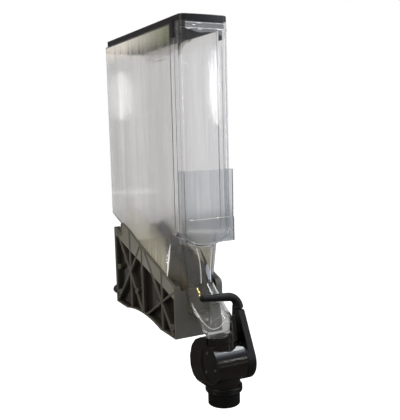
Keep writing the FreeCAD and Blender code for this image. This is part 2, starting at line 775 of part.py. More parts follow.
def cradle_screws():
    """The screws that draw the two cradle halves together, one in each boss."""
    screws = []
    for y, z in BOSS_PLACES:
        top = -SCREW_LENGTH / 2 - SCREW_HEAD
        head = rod_x(BOSS_BORE_R - SLIP, top, top + SCREW_HEAD, y, z)
        shank = rod_x(SCREW_R, top + SCREW_HEAD, SCREW_LENGTH / 2 - 1, y, z)
        hexagon = [math.radians(60 * corner) for corner in range(6)]
        outline = [(y + SCREW_SOCKET_R * math.cos(a), z + SCREW_SOCKET_R * math.sin(a)) for a in hexagon]
        socket = side_prism(outline, top, top + SCREW_SOCKET_DEPTH)
        screws.append(head.fuse(shank).cut(socket))
    return screws


def rear_bumpers():
    """Two rubber buttons pressed into the back plate, which space the bin from what is behind it."""
    profile = [
        (0.0, -PLATE - BUMPER_TANG),
        (BUMPER_NECK_R - BUMPER_BEVEL, -PLATE - BUMPER_TANG),
        (BUMPER_NECK_R, -PLATE),
        (BUMPER_NECK_R, BUMPER_REACH - BUMPER_HEAD),
        (BUMPER_R - BUMPER_BEVEL, BUMPER_REACH - BUMPER_HEAD),
        (BUMPER_R, BUMPER_REACH - BUMPER_HEAD + BUMPER_BEVEL),
        (BUMPER_R, BUMPER_REACH - BUMPER_ROUND),
        (BUMPER_R - BUMPER_ROUND, BUMPER_REACH),
        (0.0, BUMPER_REACH),
    ]
    bumpers = []
    for x in (-BUMPER_X, BUMPER_X):
        corners = [point(x + r, CRADLE_BACK_Y + reach, BUMPER_Z) for r, reach in profile]
        face = Part.Face(Part.makePolygon(corners + corners[:1]))
        bumpers.append(face.revolve(point(x, 0, BUMPER_Z), point(0, 1, 0), 360))
    return bumpers


# ---- valve ----------------------------------------------------------------------------------------

def lobe_outline():
    """The housing's rear lobe under the neck, seen from the side."""
    return [
        (-102.7, 32.0),
        (-75.7, 20.4),
        (-52.3, 9.3),
        (-34.9, -8.5),
        (-25.2, -33.5),
        (-27.3, -55.1),
        (-38.3, -71.4),
        (-57.5, -78.2),
        (-94.0, -77.0),
        (-109.0, -66.0),
    ]


def neck_frame(radius, start, length):
    """A cylinder round the inlet axis; start counts from the collar's rim, down into the valve."""
    return rod(radius, RIM_CENTRE + NECK_AXIS * start, NECK_AXIS, length)


def horn():
    """The curved guard that rises from the collar beside the neck, towards the lever's side."""
    inner = BEAD_R + SLIP
    band = neck_frame(inner + HORN_THICK, -HORN_RISE, HORN_RISE + HORN_FOOT).cut(
        neck_frame(inner, -HORN_RISE - 1, HORN_RISE + 1 + SLIP)
    )
    up = NECK_AXIS * -1
    outwards = FreeCAD.Rotation(up, -HORN_TURN).multVec(X_AXIS)
    along = up.cross(outwards)
    half = HORN_HALF_WIDTH
    wide = half + HORN_FLARE
    foot = RIM_CENTRE - up * HORN_FOOT
    shoulder = RIM_CENTRE + up * (HORN_RISE - half)
    crest = Part.Arc(shoulder + along * half, RIM_CENTRE + up * HORN_RISE, shoulder - along * half)
    sag = HORN_FLARE * (1 - math.sqrt(0.5))
    flares = [
        Part.Arc(
            RIM_CENTRE + along * (side * wide),
            RIM_CENTRE + along * (side * (half + sag)) + up * sag,
            RIM_CENTRE + along * (side * half) + up * HORN_FLARE,
        ).toShape()
        for side in (-1, 1)
    ]
    outline = Part.Wire(Part.__sortEdges__(flares + [
        Part.makeLine(foot - along * wide, foot + along * wide),
        Part.makeLine(foot + along * wide, RIM_CENTRE + along * wide),
        Part.makeLine(RIM_CENTRE + along * half + up * HORN_FLARE, shoulder + along * half),
        crest.toShape(),
        Part.makeLine(shoulder - along * half, RIM_CENTRE - along * half + up * HORN_FLARE),
        Part.makeLine(RIM_CENTRE - along * wide, foot - along * wide),
    ]))
    return band.common(Part.Face(outline).extrude(outwards * (2 * inner)))


def valve_housing():
    """Drum, rear lobe, inlet collar and outlet neck in one moulding, bored for the gate and the flow."""
    drum = rod_x(DRUM_R, DRUM_LEFT_X, DRUM_RIGHT_X, DRUM_Y, DRUM_Z)
    lobe = side_prism(lobe_outline(), -LOBE_HALF, LOBE_HALF)
    corners = edges_where(lobe, lambda p: p.y > LOBE_FREE_Y)
    lobe = lobe.makeFillet(LOBE_CORNER, [e for e in corners if near(abs(e.tangentAt(e.FirstParameter).x), 1)])
    lobe = lobe.cut(beyond(RIM_CENTRE + NECK_AXIS * SLIP, NECK_AXIS * -1))
    ring_space = rod(BAG_RING_R + SLIP, point(0, OUTLET_Y, RING_LOW_Z), Z_AXIS, BAG_RING_HEIGHT + SLIP)
    lobe = lobe.cut(ring_space)
    collar = neck_frame(COLLAR_R, SLIP, RIM_DISTANCE - DRUM_R / 2)
    neck = rod(OUTLET_NECK_R, point(0, OUTLET_Y, OUTLET_NECK_Z), Z_AXIS, DRUM_Z - OUTLET_NECK_Z)
    block = joined([drum, lobe, collar, neck, horn()])
    chamber_bore = rod_x(CHAMBER_R, DRUM_LEFT_X - 1, CHAMBER_RIGHT_X, DRUM_Y, DRUM_Z)
    passage = neck_frame(INLET_R, -1, RIM_DISTANCE)
    socket = neck_frame(INSERT_R + SLIP, -1, INSERT_LENGTH + SEAL_WIDTH + 1 + FIT)
    window = rod(WINDOW_R, point(0, OUTLET_Y, OUTLET_NECK_Z - 1), Z_AXIS, DRUM_Z - OUTLET_NECK_Z)
    seat = rod(SPIGOT_R + FIT, point(0, OUTLET_Y, OUTLET_NECK_Z - 1), Z_AXIS, TUBE_TOP_Z - OUTLET_NECK_Z + 1)
    bearing = rod_x(BUSH_R + FIT, CHAMBER_RIGHT_X - 1, DRUM_RIGHT_X + 1, DRUM_Y, DRUM_Z)
    stop_y, stop_z = stop_place()
    stop_hole = rod_x(STOP_PIN_R, DRUM_RIGHT_X - STOP_DEPTH, DRUM_RIGHT_X + 1, stop_y, stop_z)
    dish = Part.makeSphere(ELBOW_R + BEDDING, ELBOW)
    for cutter in (dish, chamber_bore, passage, socket, window, seat, bearing, stop_hole):
        block = block.cut(cutter)
    return max(block.Solids, key=lambda solid: solid.Volume)


def inlet_seal():
    """A rubber ring at the bottom of the collar's socket, under the clear neck."""
    start = INSERT_LENGTH + FIT
    return neck_frame(INSERT_R, start, SEAL_WIDTH).cut(neck_frame(INLET_R + 0.5, start - 1, SEAL_WIDTH + 2))


def stop_place():
    """Centre of the lever's stop pin on the drum's right face."""
    angle = math.radians(STOP_PIN_ANGLE)
    return (DRUM_Y + STOP_RING_R * math.cos(angle), DRUM_Z + STOP_RING_R * math.sin(angle))


def cover_screw_places():
    """Centres of the cover's screws, on a circle round the drum's axis."""
    places = []
    for number in range(COVER_SCREW_COUNT):
        angle = math.radians(COVER_SCREW_FIRST + number * 360 / COVER_SCREW_COUNT)
        y = DRUM_Y + COVER_SCREW_RING_R * math.cos(angle)
        z = DRUM_Z + COVER_SCREW_RING_R * math.sin(angle)
        places.append((y, z))
    return places


def side_cover():
    """The round cover of the gate chamber's left end: dished outside, a blind bearing boss inside."""
    outer = CHAMBER_R - FIT
    face = CHAMBER_LEFT_X - COVER_FACE
    disc = rod_x(outer, face, CHAMBER_LEFT_X, DRUM_Y, DRUM_Z)
    disc = disc.fuse(rod_x(COVER_BOSS_R, CHAMBER_LEFT_X, -GATE_HALF - SLIP, DRUM_Y, DRUM_Z))
    disc = disc.cut(rod_x(outer - COVER_RIM, face - 1, face + COVER_DISH, DRUM_Y, DRUM_Z))
    disc = disc.cut(rod_x(BUSH_R + FIT, BLIND_END_X, 0, DRUM_Y, DRUM_Z))
    for y, z in cover_screw_places():
        disc = disc.cut(rod_x(COVER_SCREW_R, face - 1, CHAMBER_LEFT_X + 1, y, z))
    return disc


def cover_screws():
    """Small pan-head screws through the side cover."""
    seat = CHAMBER_LEFT_X - COVER_FACE + COVER_DISH
    reach = COVER_SCREW_HEAD_R + 1
    half = COVER_SCREW_SLOT / 2
    screws = []
    for y, z in cover_screw_places():
        head = rod_x(COVER_SCREW_HEAD_R, seat - COVER_SCREW_HEAD, seat, y, z)
        shank = rod_x(COVER_SCREW_R - FIT, seat, CHAMBER_LEFT_X - FIT, y, z)
        slot_foot = seat - COVER_SCREW_HEAD / 2
        slot = box(slot_foot - COVER_SCREW_HEAD, slot_foot, y - reach, y + reach, z - half, z + half)
        screws.append(head.fuse(shank).cut(slot))
    return screws


def bushing(x0, x1):
    """A plain bearing bush round the gate's shaft."""
    return pipe_x(BUSH_R, SHAFT_R + FIT, x0, x1, DRUM_Y, DRUM_Z)


def stop_pin():
    """The pin in the drum's right face that runs in the lever's curved slot."""
    y, z = stop_place()
    return rod_x(STOP_PIN_R, DRUM_RIGHT_X - STOP_DEPTH, HUB_INNER_X + STOP_DEPTH - 1, y, z)


def gate_rotor():
    """A curved shutter between two discs on stub shafts; at rest it covers the outlet window."""
    outer = CHAMBER_R - SLIP
    inner = outer - GATE_THICK
    shell = pipe_x(outer, inner, -GATE_HALF, GATE_HALF, DRUM_Y, DRUM_Z)
    spread = math.radians(GATE_HALF_ANGLE)
    reach = 2 * outer
    wedge = side_prism([
        (DRUM_Y, DRUM_Z),
        (DRUM_Y - reach * math.sin(spread), DRUM_Z - reach * math.cos(spread)),
        (DRUM_Y + reach * math.sin(spread), DRUM_Z - reach * math.cos(spread)),
    ], -GATE_HALF, GATE_HALF)
    parts = [shell.common(wedge)]
    for x0 in (-GATE_HALF, GATE_HALF - DISC_THICK):
        disc = rod_x(outer, x0, x0 + DISC_THICK, DRUM_Y, DRUM_Z)
        keep = joined([wedge, rod_x(DISC_HUB_R, -GATE_HALF, GATE_HALF, DRUM_Y, DRUM_Z)])
        parts.append(disc.common(keep))
    parts.append(rod_x(SHAFT_R, BLIND_END_X + SLIP, -GATE_HALF, DRUM_Y, DRUM_Z))
    parts.append(rod_x(SHAFT_R, GATE_HALF, LEVER_OUTER_X - WASHER_THICK, DRUM_Y, DRUM_Z))
    solid = joined(parts)
    return solid.cut(rod_x(HUB_SCREW_R + FIT, LEVER_OUTER_X - HUB_SCREW_LENGTH, FAR, DRUM_Y, DRUM_Z))


def outlet_tube():
    """The round tube that bags or jars are held under, with a spigot that enters the housing's neck."""
    foot = point(0, OUTLET_Y, TUBE_BOTTOM_Z)
    tube = joined([
        rod(TUBE_R, foot, Z_AXIS, RING_LOW_Z - SLIP - TUBE_BOTTOM_Z),
        rod(RING_SEAT_R, foot, Z_AXIS, OUTLET_NECK_Z - FIT - TUBE_BOTTOM_Z),
        rod(SPIGOT_R, foot, Z_AXIS, TUBE_TOP_Z - FIT - TUBE_BOTTOM_Z),
    ])
    tube = tube.cut(rod(TUBE_R - TUBE_WALL, point(0, OUTLET_Y, TUBE_BOTTOM_Z - 1), Z_AXIS, FAR))
    rims = edges_where(tube, lambda p: near(p.z, TUBE_BOTTOM_Z))
    return tube.makeChamfer(TUBE_CHAMFER, rims)


def bag_ring():
    """The rounded, twice grooved ring round the top of the outlet tube."""
    ring = pipe(BAG_RING_R, RING_SEAT_R + FIT, point(0, OUTLET_Y, RING_LOW_Z), Z_AXIS, BAG_RING_HEIGHT)
    ring = ring.cut(rod(OUTLET_NECK_R + SLIP, point(0, OUTLET_Y, OUTLET_NECK_Z - FIT), Z_AXIS, FAR))
    crowns = edges_where(ring, lambda p: math.hypot(p.x, p.y - OUTLET_Y) > BAG_RING_R - FIT)
    ring = ring.makeFillet((BAG_RING_R - TUBE_R) / 2, [edge for edge in crowns if edge.Closed])
    for turn in (-1, 1):
        z = BAG_RING_Z + turn * BAG_RING_HEIGHT / 6
        corners = [
            point(BAG_RING_R + FIT, OUTLET_Y, z - BAG_RING_GROOVE),
            point(BAG_RING_R - BAG_RING_GROOVE, OUTLET_Y, z),
            point(BAG_RING_R + FIT, OUTLET_Y, z + BAG_RING_GROOVE),
        ]
        groove = Part.Face(Part.makePolygon(corners + corners[:1]))
        ring = ring.cut(groove.revolve(point(0, OUTLET_Y, z), Z_AXIS, 360))
    return ring


# ---- lever ----------------------------------------------------------------------------------------

def touch_point(corner_y, corner_z, side):
    """Where a straight edge from a corner touches the hub's circle, in front (-1) or behind (+1)."""
    dy = corner_y - DRUM_Y
    dz = corner_z - DRUM_Z
    reach = math.hypot(dy, dz)
    bearing = math.atan2(dz, dy)
    spread = math.acos(HUB_R / reach)
    angle = bearing - side * spread
    return (DRUM_Y + HUB_R * math.cos(angle), DRUM_Z + HUB_R * math.sin(angle))


def stop_slot():
    """The curved slot in the hub's inner face that lets the lever turn by its travel round the stop pin."""
    half_width = STOP_PIN_R + SLIP
    x0 = HUB_INNER_X - 1
    x1 = HUB_INNER_X + STOP_DEPTH
    band = pipe_x(STOP_RING_R + half_width, STOP_RING_R - half_width, x0, x1, DRUM_Y, DRUM_Z)
    reach = 2 * STOP_RING_R
    angles = [STOP_PIN_ANGLE, STOP_PIN_ANGLE - LEVER_TRAVEL]
    ends = [(math.cos(math.radians(a)), math.sin(math.radians(a))) for a in angles]
    rays = [(DRUM_Y + c * reach, DRUM_Z + s * reach) for c, s in ends]
    wedge = side_prism([(DRUM_Y, DRUM_Z)] + rays, x0, x1)
    rounds = [rod_x(half_width, x0, x1, DRUM_Y + c * STOP_RING_R, DRUM_Z + s * STOP_RING_R) for c, s in ends]
    return joined([band.common(wedge)] + rounds)


def lever_arm():
    """A flat tapering arm on a round hub, recessed on its inner side for the return spring."""
    front = touch_point(ARM_TOP_FRONT_Y, ARM_TOP_Z, -1)
    back = touch_point(ARM_TOP_BACK_Y, ARM_TOP_Z, 1)
    blade = side_prism([
        (DRUM_Y, DRUM_Z), front, (ARM_TOP_FRONT_Y, ARM_TOP_Z), (ARM_TOP_BACK_Y, ARM_TOP_Z), back,
    ], BLADE_INNER_X, LEVER_OUTER_X)
    hub = rod_x(HUB_R, HUB_INNER_X, LEVER_OUTER_X, DRUM_Y, DRUM_Z)
    arm = joined([blade, hub])
    rims = edges_where(arm, lambda p: near(p.x, LEVER_OUTER_X))
    arm = arm.makeFillet(ARM_EDGE, rims)
    arm = arm.cut(pipe_x(
        SPRING_RECESS_R, SPRING_CORE_R, HUB_INNER_X - 1, HUB_INNER_X + SPRING_RECESS_DEPTH, DRUM_Y, DRUM_Z,
    ))
    arm = arm.cut(stop_slot())
    arm = arm.cut(rod_x(SHAFT_R + FIT, HUB_INNER_X - 1, LEVER_OUTER_X + 1, DRUM_Y, DRUM_Z))
    arm = arm.cut(rod_x(WASHER_R + SLIP, LEVER_OUTER_X - WASHER_THICK, LEVER_OUTER_X + 1, DRUM_Y, DRUM_Z))
    return arm.cut(rod(TANG_R + FIT, point(GRIP_X, GRIP_Y, ARM_TOP_Z - TANG_LENGTH - 1), Z_AXIS, FAR))


def lever_grip():
    """A round bar that rises from the arm, bends over the spout and tapers to a rounded tip."""
    corner = point(GRIP_X, GRIP_Y, GRIP_HEIGHT_Z - GRIP_RISE * GRIP_X)
    along = point(-1, 0, GRIP_RISE)
    along.normalize()
    turn = math.pi / 2 - math.atan(GRIP_RISE)
    back_off = GRIP_BEND_R * math.tan(turn / 2)
    start = corner - Z_AXIS * back_off
    end = corner + along * back_off
    pivot = start - X_AXIS * GRIP_BEND_R
    rings = []
    for number in range(GRIP_SECTIONS):
        share = number / (GRIP_SECTIONS - 1)
        angle = share * turn
        radius = GRIP_POST_R + (GRIP_R - GRIP_POST_R) * share - GRIP_WAIST * 4 * share * (1 - share)
        centre = pivot + point(math.cos(angle), 0, math.sin(angle)) * GRIP_BEND_R
        ahead = point(-math.sin(angle), 0, math.cos(angle))
        rings.append(Part.Wire([Part.makeCircle(radius, centre, ahead)]))
    bend = Part.makeLoft(rings, True)
    collar_z = ARM_TOP_Z + GRIP_NECK_HEIGHT
    post = rod(GRIP_POST_R, point(GRIP_X, GRIP_Y, collar_z), Z_AXIS, start.z - collar_z)
    neck = rod(GRIP_NECK_R, point(GRIP_X, GRIP_Y, ARM_TOP_Z), Z_AXIS, GRIP_NECK_HEIGHT + 1)
    tip = corner + along * ((GRIP_X - GRIP_TIP_X) / -along.x)
    bar_length = (tip - end).Length - GRIP_TIP_R * 0.6
    bar = Part.makeCone(GRIP_R, GRIP_TIP_R, bar_length, end, along)
    cap_centre = end + along * bar_length
    cap = Part.makeSphere(GRIP_TIP_R, cap_centre)
    tang = rod(TANG_R, point(GRIP_X, GRIP_Y, ARM_TOP_Z - TANG_LENGTH), Z_AXIS, TANG_LENGTH + 1)
    return joined([post, bend, bar, cap, neck, tang])


def spiral_edges(radius, step, x):
    """Half turns of growing radius round the drum's axis, each joined smoothly to the next."""
    edges = []
    for number in range(2 * SPRING_TURNS + 1):
        side = 1 - 2 * (number % 2)
        centre = point(x, DRUM_Y + step * (number % 2), DRUM_Z)
        reach = radius + step * number
        start = point(0, side * reach, 0)
        crown = point(0, 0, side * reach)
        edges.append(Part.Arc(centre + start, centre + crown, centre - start).toShape())
    return edges


def return_spring():
    """The spiral strip spring wound round the hub's core, in the recess."""
    half = SPRING_STRIP / 2
    first = SPRING_CORE_R + SLIP + half
    last = SPRING_RECESS_R - SLIP - half
    step = (last - first) / (2 * SPRING_TURNS)
    x = HUB_INNER_X + (SPRING_RECESS_DEPTH - SPRING_WIDTH) / 2
    inner = spiral_edges(first - half, step, x)
    outer = spiral_edges(first + half, step, x)
    ends = [
        Part.makeLine(inner[0].Vertexes[0].Point, outer[0].Vertexes[0].Point),
        Part.makeLine(inner[-1].Vertexes[-1].Point, outer[-1].Vertexes[-1].Point),
    ]
    outline = Part.Wire(Part.__sortEdges__(inner + outer + ends))
    return Part.Face(outline).extrude(point(SPRING_WIDTH, 0, 0))


def hub_washer():
    """The washer under the hub screw's head."""
    inner_x = LEVER_OUTER_X - WASHER_THICK + FIT
    return pipe_x(WASHER_R, HUB_SCREW_R + FIT, inner_x, LEVER_OUTER_X, DRUM_Y, DRUM_Z)


def hub_screw():
    """The screw that holds the lever on the gate's shaft."""
    head = rod_x(HUB_SCREW_HEAD_R, LEVER_OUTER_X + FIT, LEVER_OUTER_X + HUB_SCREW_HEAD, DRUM_Y, DRUM_Z)
    crown = edges_where(head, lambda p: near(p.x, LEVER_OUTER_X + HUB_SCREW_HEAD))
    head = head.makeFillet(HUB_SCREW_CROWN, crown)
    shank = rod_x(HUB_SCREW_R, LEVER_OUTER_X - HUB_SCREW_LENGTH + 1, LEVER_OUTER_X + 1, DRUM_Y, DRUM_Z)
    return head.fuse(shank)


# ---- the whole bin --------------------------------------------------------------------------------

def build():
    """All nodes by name."""
    skin = hopper_skin()
    hopper_space = hopper_outside(-BEDDING)
    left = cradle_half(hopper_space, SCREW_R + 5 * FIT)
    right = mirrored(cradle_half(hopper_space, SCREW_R + FIT))
    front = joined([skin.common(front_region()), rim_rib()] + lap_bands())
    spout = skin.common(spout_region())
    body = skin.cut(front_region()).cut(spout_region())
    return {
        "hopper_body": body,
        "hopper_front": front,
        "hopper_spout": spout,
        "label_holder": joined([label_holder(), label_pocket()]),
        "lid": lid(),
        "lid_hinge_rail": hinge_rail(),
        "lid_hinge_pin": hinge_pin(),
        "cradle_left": left,
        "cradle_right": right,
        "cradle_screws": Part.makeCompound(cradle_screws()),
        "rear_bumpers": Part.makeCompound(rear_bumpers()),
        "valve_housing": valve_housing(),
        "inlet_seal": inlet_seal(),
        "side_cover": side_cover(),
        "cover_screws": Part.makeCompound(cover_screws()),
        "bushing_left": bushing(BLIND_END_X, -GATE_HALF - SLIP),
        "bushing_right": bushing(CHAMBER_RIGHT_X, DRUM_RIGHT_X),
        "stop_pin": stop_pin(),
        "gate_rotor": gate_rotor(),
        "outlet_tube": outlet_tube(),
        "bag_ring": bag_ring(),
        "lever_arm": lever_arm(),
        "lever_grip": lever_grip(),
        "return_spring": return_spring(),
        "hub_washer": hub_washer(),
        "hub_screw": hub_screw(),
    }


os.makedirs("parts", exist_ok=True)
for name, shape in build().items():
    print(name, "solids", len(shape.Solids), "volume", round(shape.Volume), "valid", shape.isValid())
    shape.exportStep("parts/" + name + ".step")
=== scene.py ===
import logging
import math
from dataclasses import dataclass, field
from enum import Enum

import bpy
import numpy as np
from mathutils import Matrix, Vector


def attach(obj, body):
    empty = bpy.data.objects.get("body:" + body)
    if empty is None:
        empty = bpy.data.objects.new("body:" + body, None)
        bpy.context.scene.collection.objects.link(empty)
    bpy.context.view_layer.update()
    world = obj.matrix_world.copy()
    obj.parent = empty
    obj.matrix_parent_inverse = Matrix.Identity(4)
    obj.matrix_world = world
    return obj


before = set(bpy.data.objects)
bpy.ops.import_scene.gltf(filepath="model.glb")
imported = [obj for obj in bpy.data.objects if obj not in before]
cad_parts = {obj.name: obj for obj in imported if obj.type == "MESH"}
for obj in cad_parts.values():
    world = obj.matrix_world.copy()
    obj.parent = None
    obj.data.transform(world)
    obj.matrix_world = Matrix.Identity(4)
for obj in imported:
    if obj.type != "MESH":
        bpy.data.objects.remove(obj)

LOG = logging.getLogger("bin")
MM = 0.001
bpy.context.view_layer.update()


# ---- small types and named values -------------------------------------------------------------

class Body(Enum):
    """The body that the scene's own pieces ride."""

    BIN = "bin"


class Output(Enum):
    """Names of the outputs that the shared surface groups give."""

    MASK = "Mask"
    HEIGHT = "Height"


class LampShape(Enum):
    """Outlines of the studio's lamps."""

    PANEL = "RECTANGLE"
    ROUND = "ELLIPSE"


Colour = tuple[float, float, float]
Place = tuple[float, float, float]
Range = tuple[float, float]
Amount = np.ndarray | float

CLEAR_SLOT = "clear_plastic"
LABEL_SLOT = "label_plastic"

# Metres: the hopper's rim and the crease over its sloped floor, and a film's reach that covers the whole bin.
RIM_HEIGHT = 0.655
CREASE_FRONT: Place = (-0.054, 0.033, 0.126)
CREASE_BACK: Place = (-0.054, 0.379, 0.237)
CREASE_SLOPE = (CREASE_BACK[2] - CREASE_FRONT[2]) / (CREASE_BACK[1] - CREASE_FRONT[1])
EVERYWHERE = 5.0

# Millimetres: how far a line's middle stands off its wall, and how thick a film is.
LINE_PROUD = 0.1
FILM_THICK = 0.12

# Corners of a bead's section, and the share of a dome's half length that is built, so its caps have width.
ROUND_SIDES = 12
FINE_SIDES = 8
DOME_END = 0.98

# Directions that surfaces face.
FORWARD: Place = (0.0, -1.0, 0.0)
LEFTWARD: Place = (-1.0, 0.0, 0.0)
FRONT_BELOW: Place = (0.0, -0.7, -0.7)

# Optics that all finishes of a kind share.
ACRYLIC_IOR = 1.49
COAT_ROUGHNESS = 0.08
GLOSS_SPREAD: Range = (0.9, 1.12)
DUST_MATT = 0.3
FILM_ROUGHNESS = 0.6
FILM_PALER = 1.12


# ---- node helpers -----------------------------------------------------------------------------

@dataclass
class Graph:
    """A thin wrapper round a node tree that adds nodes and links in one call."""

    tree: bpy.types.NodeTree
    column: int = 0

    def add(self, kind: str, **settings: object) -> bpy.types.Node:
        """Adds a node and sets its properties.

        Args:
            kind: Blender's name of the node type.
            settings: properties by attribute name.

        Returns:
            The new node.
        """
        node = self.tree.nodes.new(kind)
        node.location = (self.column * 180, 0)
        self.column += 1
        for name, value in settings.items():
            setattr(node, name, value)
        return node

    def link(self, source: bpy.types.NodeSocket, target: bpy.types.NodeSocket) -> None:
        """Joins an output to an input."""
        self.tree.links.new(source, target)

    def math(self, operation: str, first: object, second: object = 0.0) -> bpy.types.NodeSocket:
        """Adds a Math node.

        Args:
            operation: the operation's name.
            first: a socket or a number.
            second: a socket or a number.

        Returns:
            The result's socket.
        """
        node = self.add("ShaderNodeMath", operation=operation)
        self.feed(first, node.inputs[0])
        self.feed(second, node.inputs[1])
        return node.outputs[0]

    def feed(self, value: object, socket: bpy.types.NodeSocket) -> None:
        """Links a socket, or sets a plain value, on an input.

        Args:
            value: a socket, a number or a colour.
            socket: the input.
        """
        if isinstance(value, bpy.types.NodeSocket):
            self.link(value, socket)
        else:
            socket.default_value = value

    def remap(
        self, value: object, low: object, high: object, new_low: float, new_high: float
    ) -> bpy.types.NodeSocket:
        """Maps a range of values onto another, held at its ends.

        Args:
            value: the socket to map.
            low: lower end of the incoming range.
            high: upper end of the incoming range.
            new_low: result at the lower end.
            new_high: result at the upper end.

        Returns:
            The result's socket.
        """
        node = self.add("ShaderNodeMapRange")
        for place, item in enumerate((value, low, high, new_low, new_high)):
            self.feed(item, node.inputs[place])
        return node.outputs[0]

    def blend(self, factor: object, first: object, second: object) -> bpy.types.NodeSocket:
        """Mixes two colours.

        Args:
            factor: share of the second colour.
            first: a colour or a socket.
            second: a colour or a socket.

        Returns:
            The mixed colour's socket.
        """
        node = self.add("ShaderNodeMix", data_type="RGBA", blend_type="MIX")
        node.clamp_factor = True
        for place, value in ((0, factor), (6, first), (7, second)):
            if isinstance(value, tuple):
                value = (*value, 1.0)
            self.feed(value, node.inputs[place])
        return node.outputs[2]

    def noise(
        self, vector: bpy.types.NodeSocket, scale: object, detail: float = 2.0, rough: float = 0.5
    ) -> bpy.types.NodeSocket:
        """Adds a noise pattern.

        Args:
            vector: where the pattern is read.
            scale: its scale, a socket or a number.
            detail: how many finer layers it has.
            rough: how strong the finer layers are.

        Returns:
            The pattern's value.
        """
        node = self.add("ShaderNodeTexNoise")
        for label, value in (("Vector", vector), ("Scale", scale), ("Detail", detail), ("Roughness", rough)):
            self.feed(value, node.inputs[label])
        return node.outputs["Fac"]


def bare_graph(owner: bpy.types.Material | bpy.types.World) -> Graph:
    """Gives a material or a world an empty node tree.

    Args:
        owner: the material or world.

    Returns:
        The graph of its tree.
    """
    owner.use_nodes = True
    owner.node_tree.nodes.clear()
    return Graph(owner.node_tree)


def new_group(name: str, inputs: dict[str, float]) -> tuple[Graph, bpy.types.Node, bpy.types.Node]:
    """Starts a shared surface group with float inputs and the Mask and Height outputs.

    Args:
        name: the group's name.
        inputs: default value of each input by name.

    Returns:
        The group's graph, its input node and its output node.
    """
    tree = bpy.data.node_groups.new(name, "ShaderNodeTree")
    for label, value in inputs.items():
        socket = tree.interface.new_socket(label, in_out="INPUT", socket_type="NodeSocketFloat")
        socket.default_value = value
    for label in Output:
        tree.interface.new_socket(label.value, in_out="OUTPUT", socket_type="NodeSocketFloat")
    graph = Graph(tree)
    return graph, graph.add("NodeGroupInput"), graph.add("NodeGroupOutput")


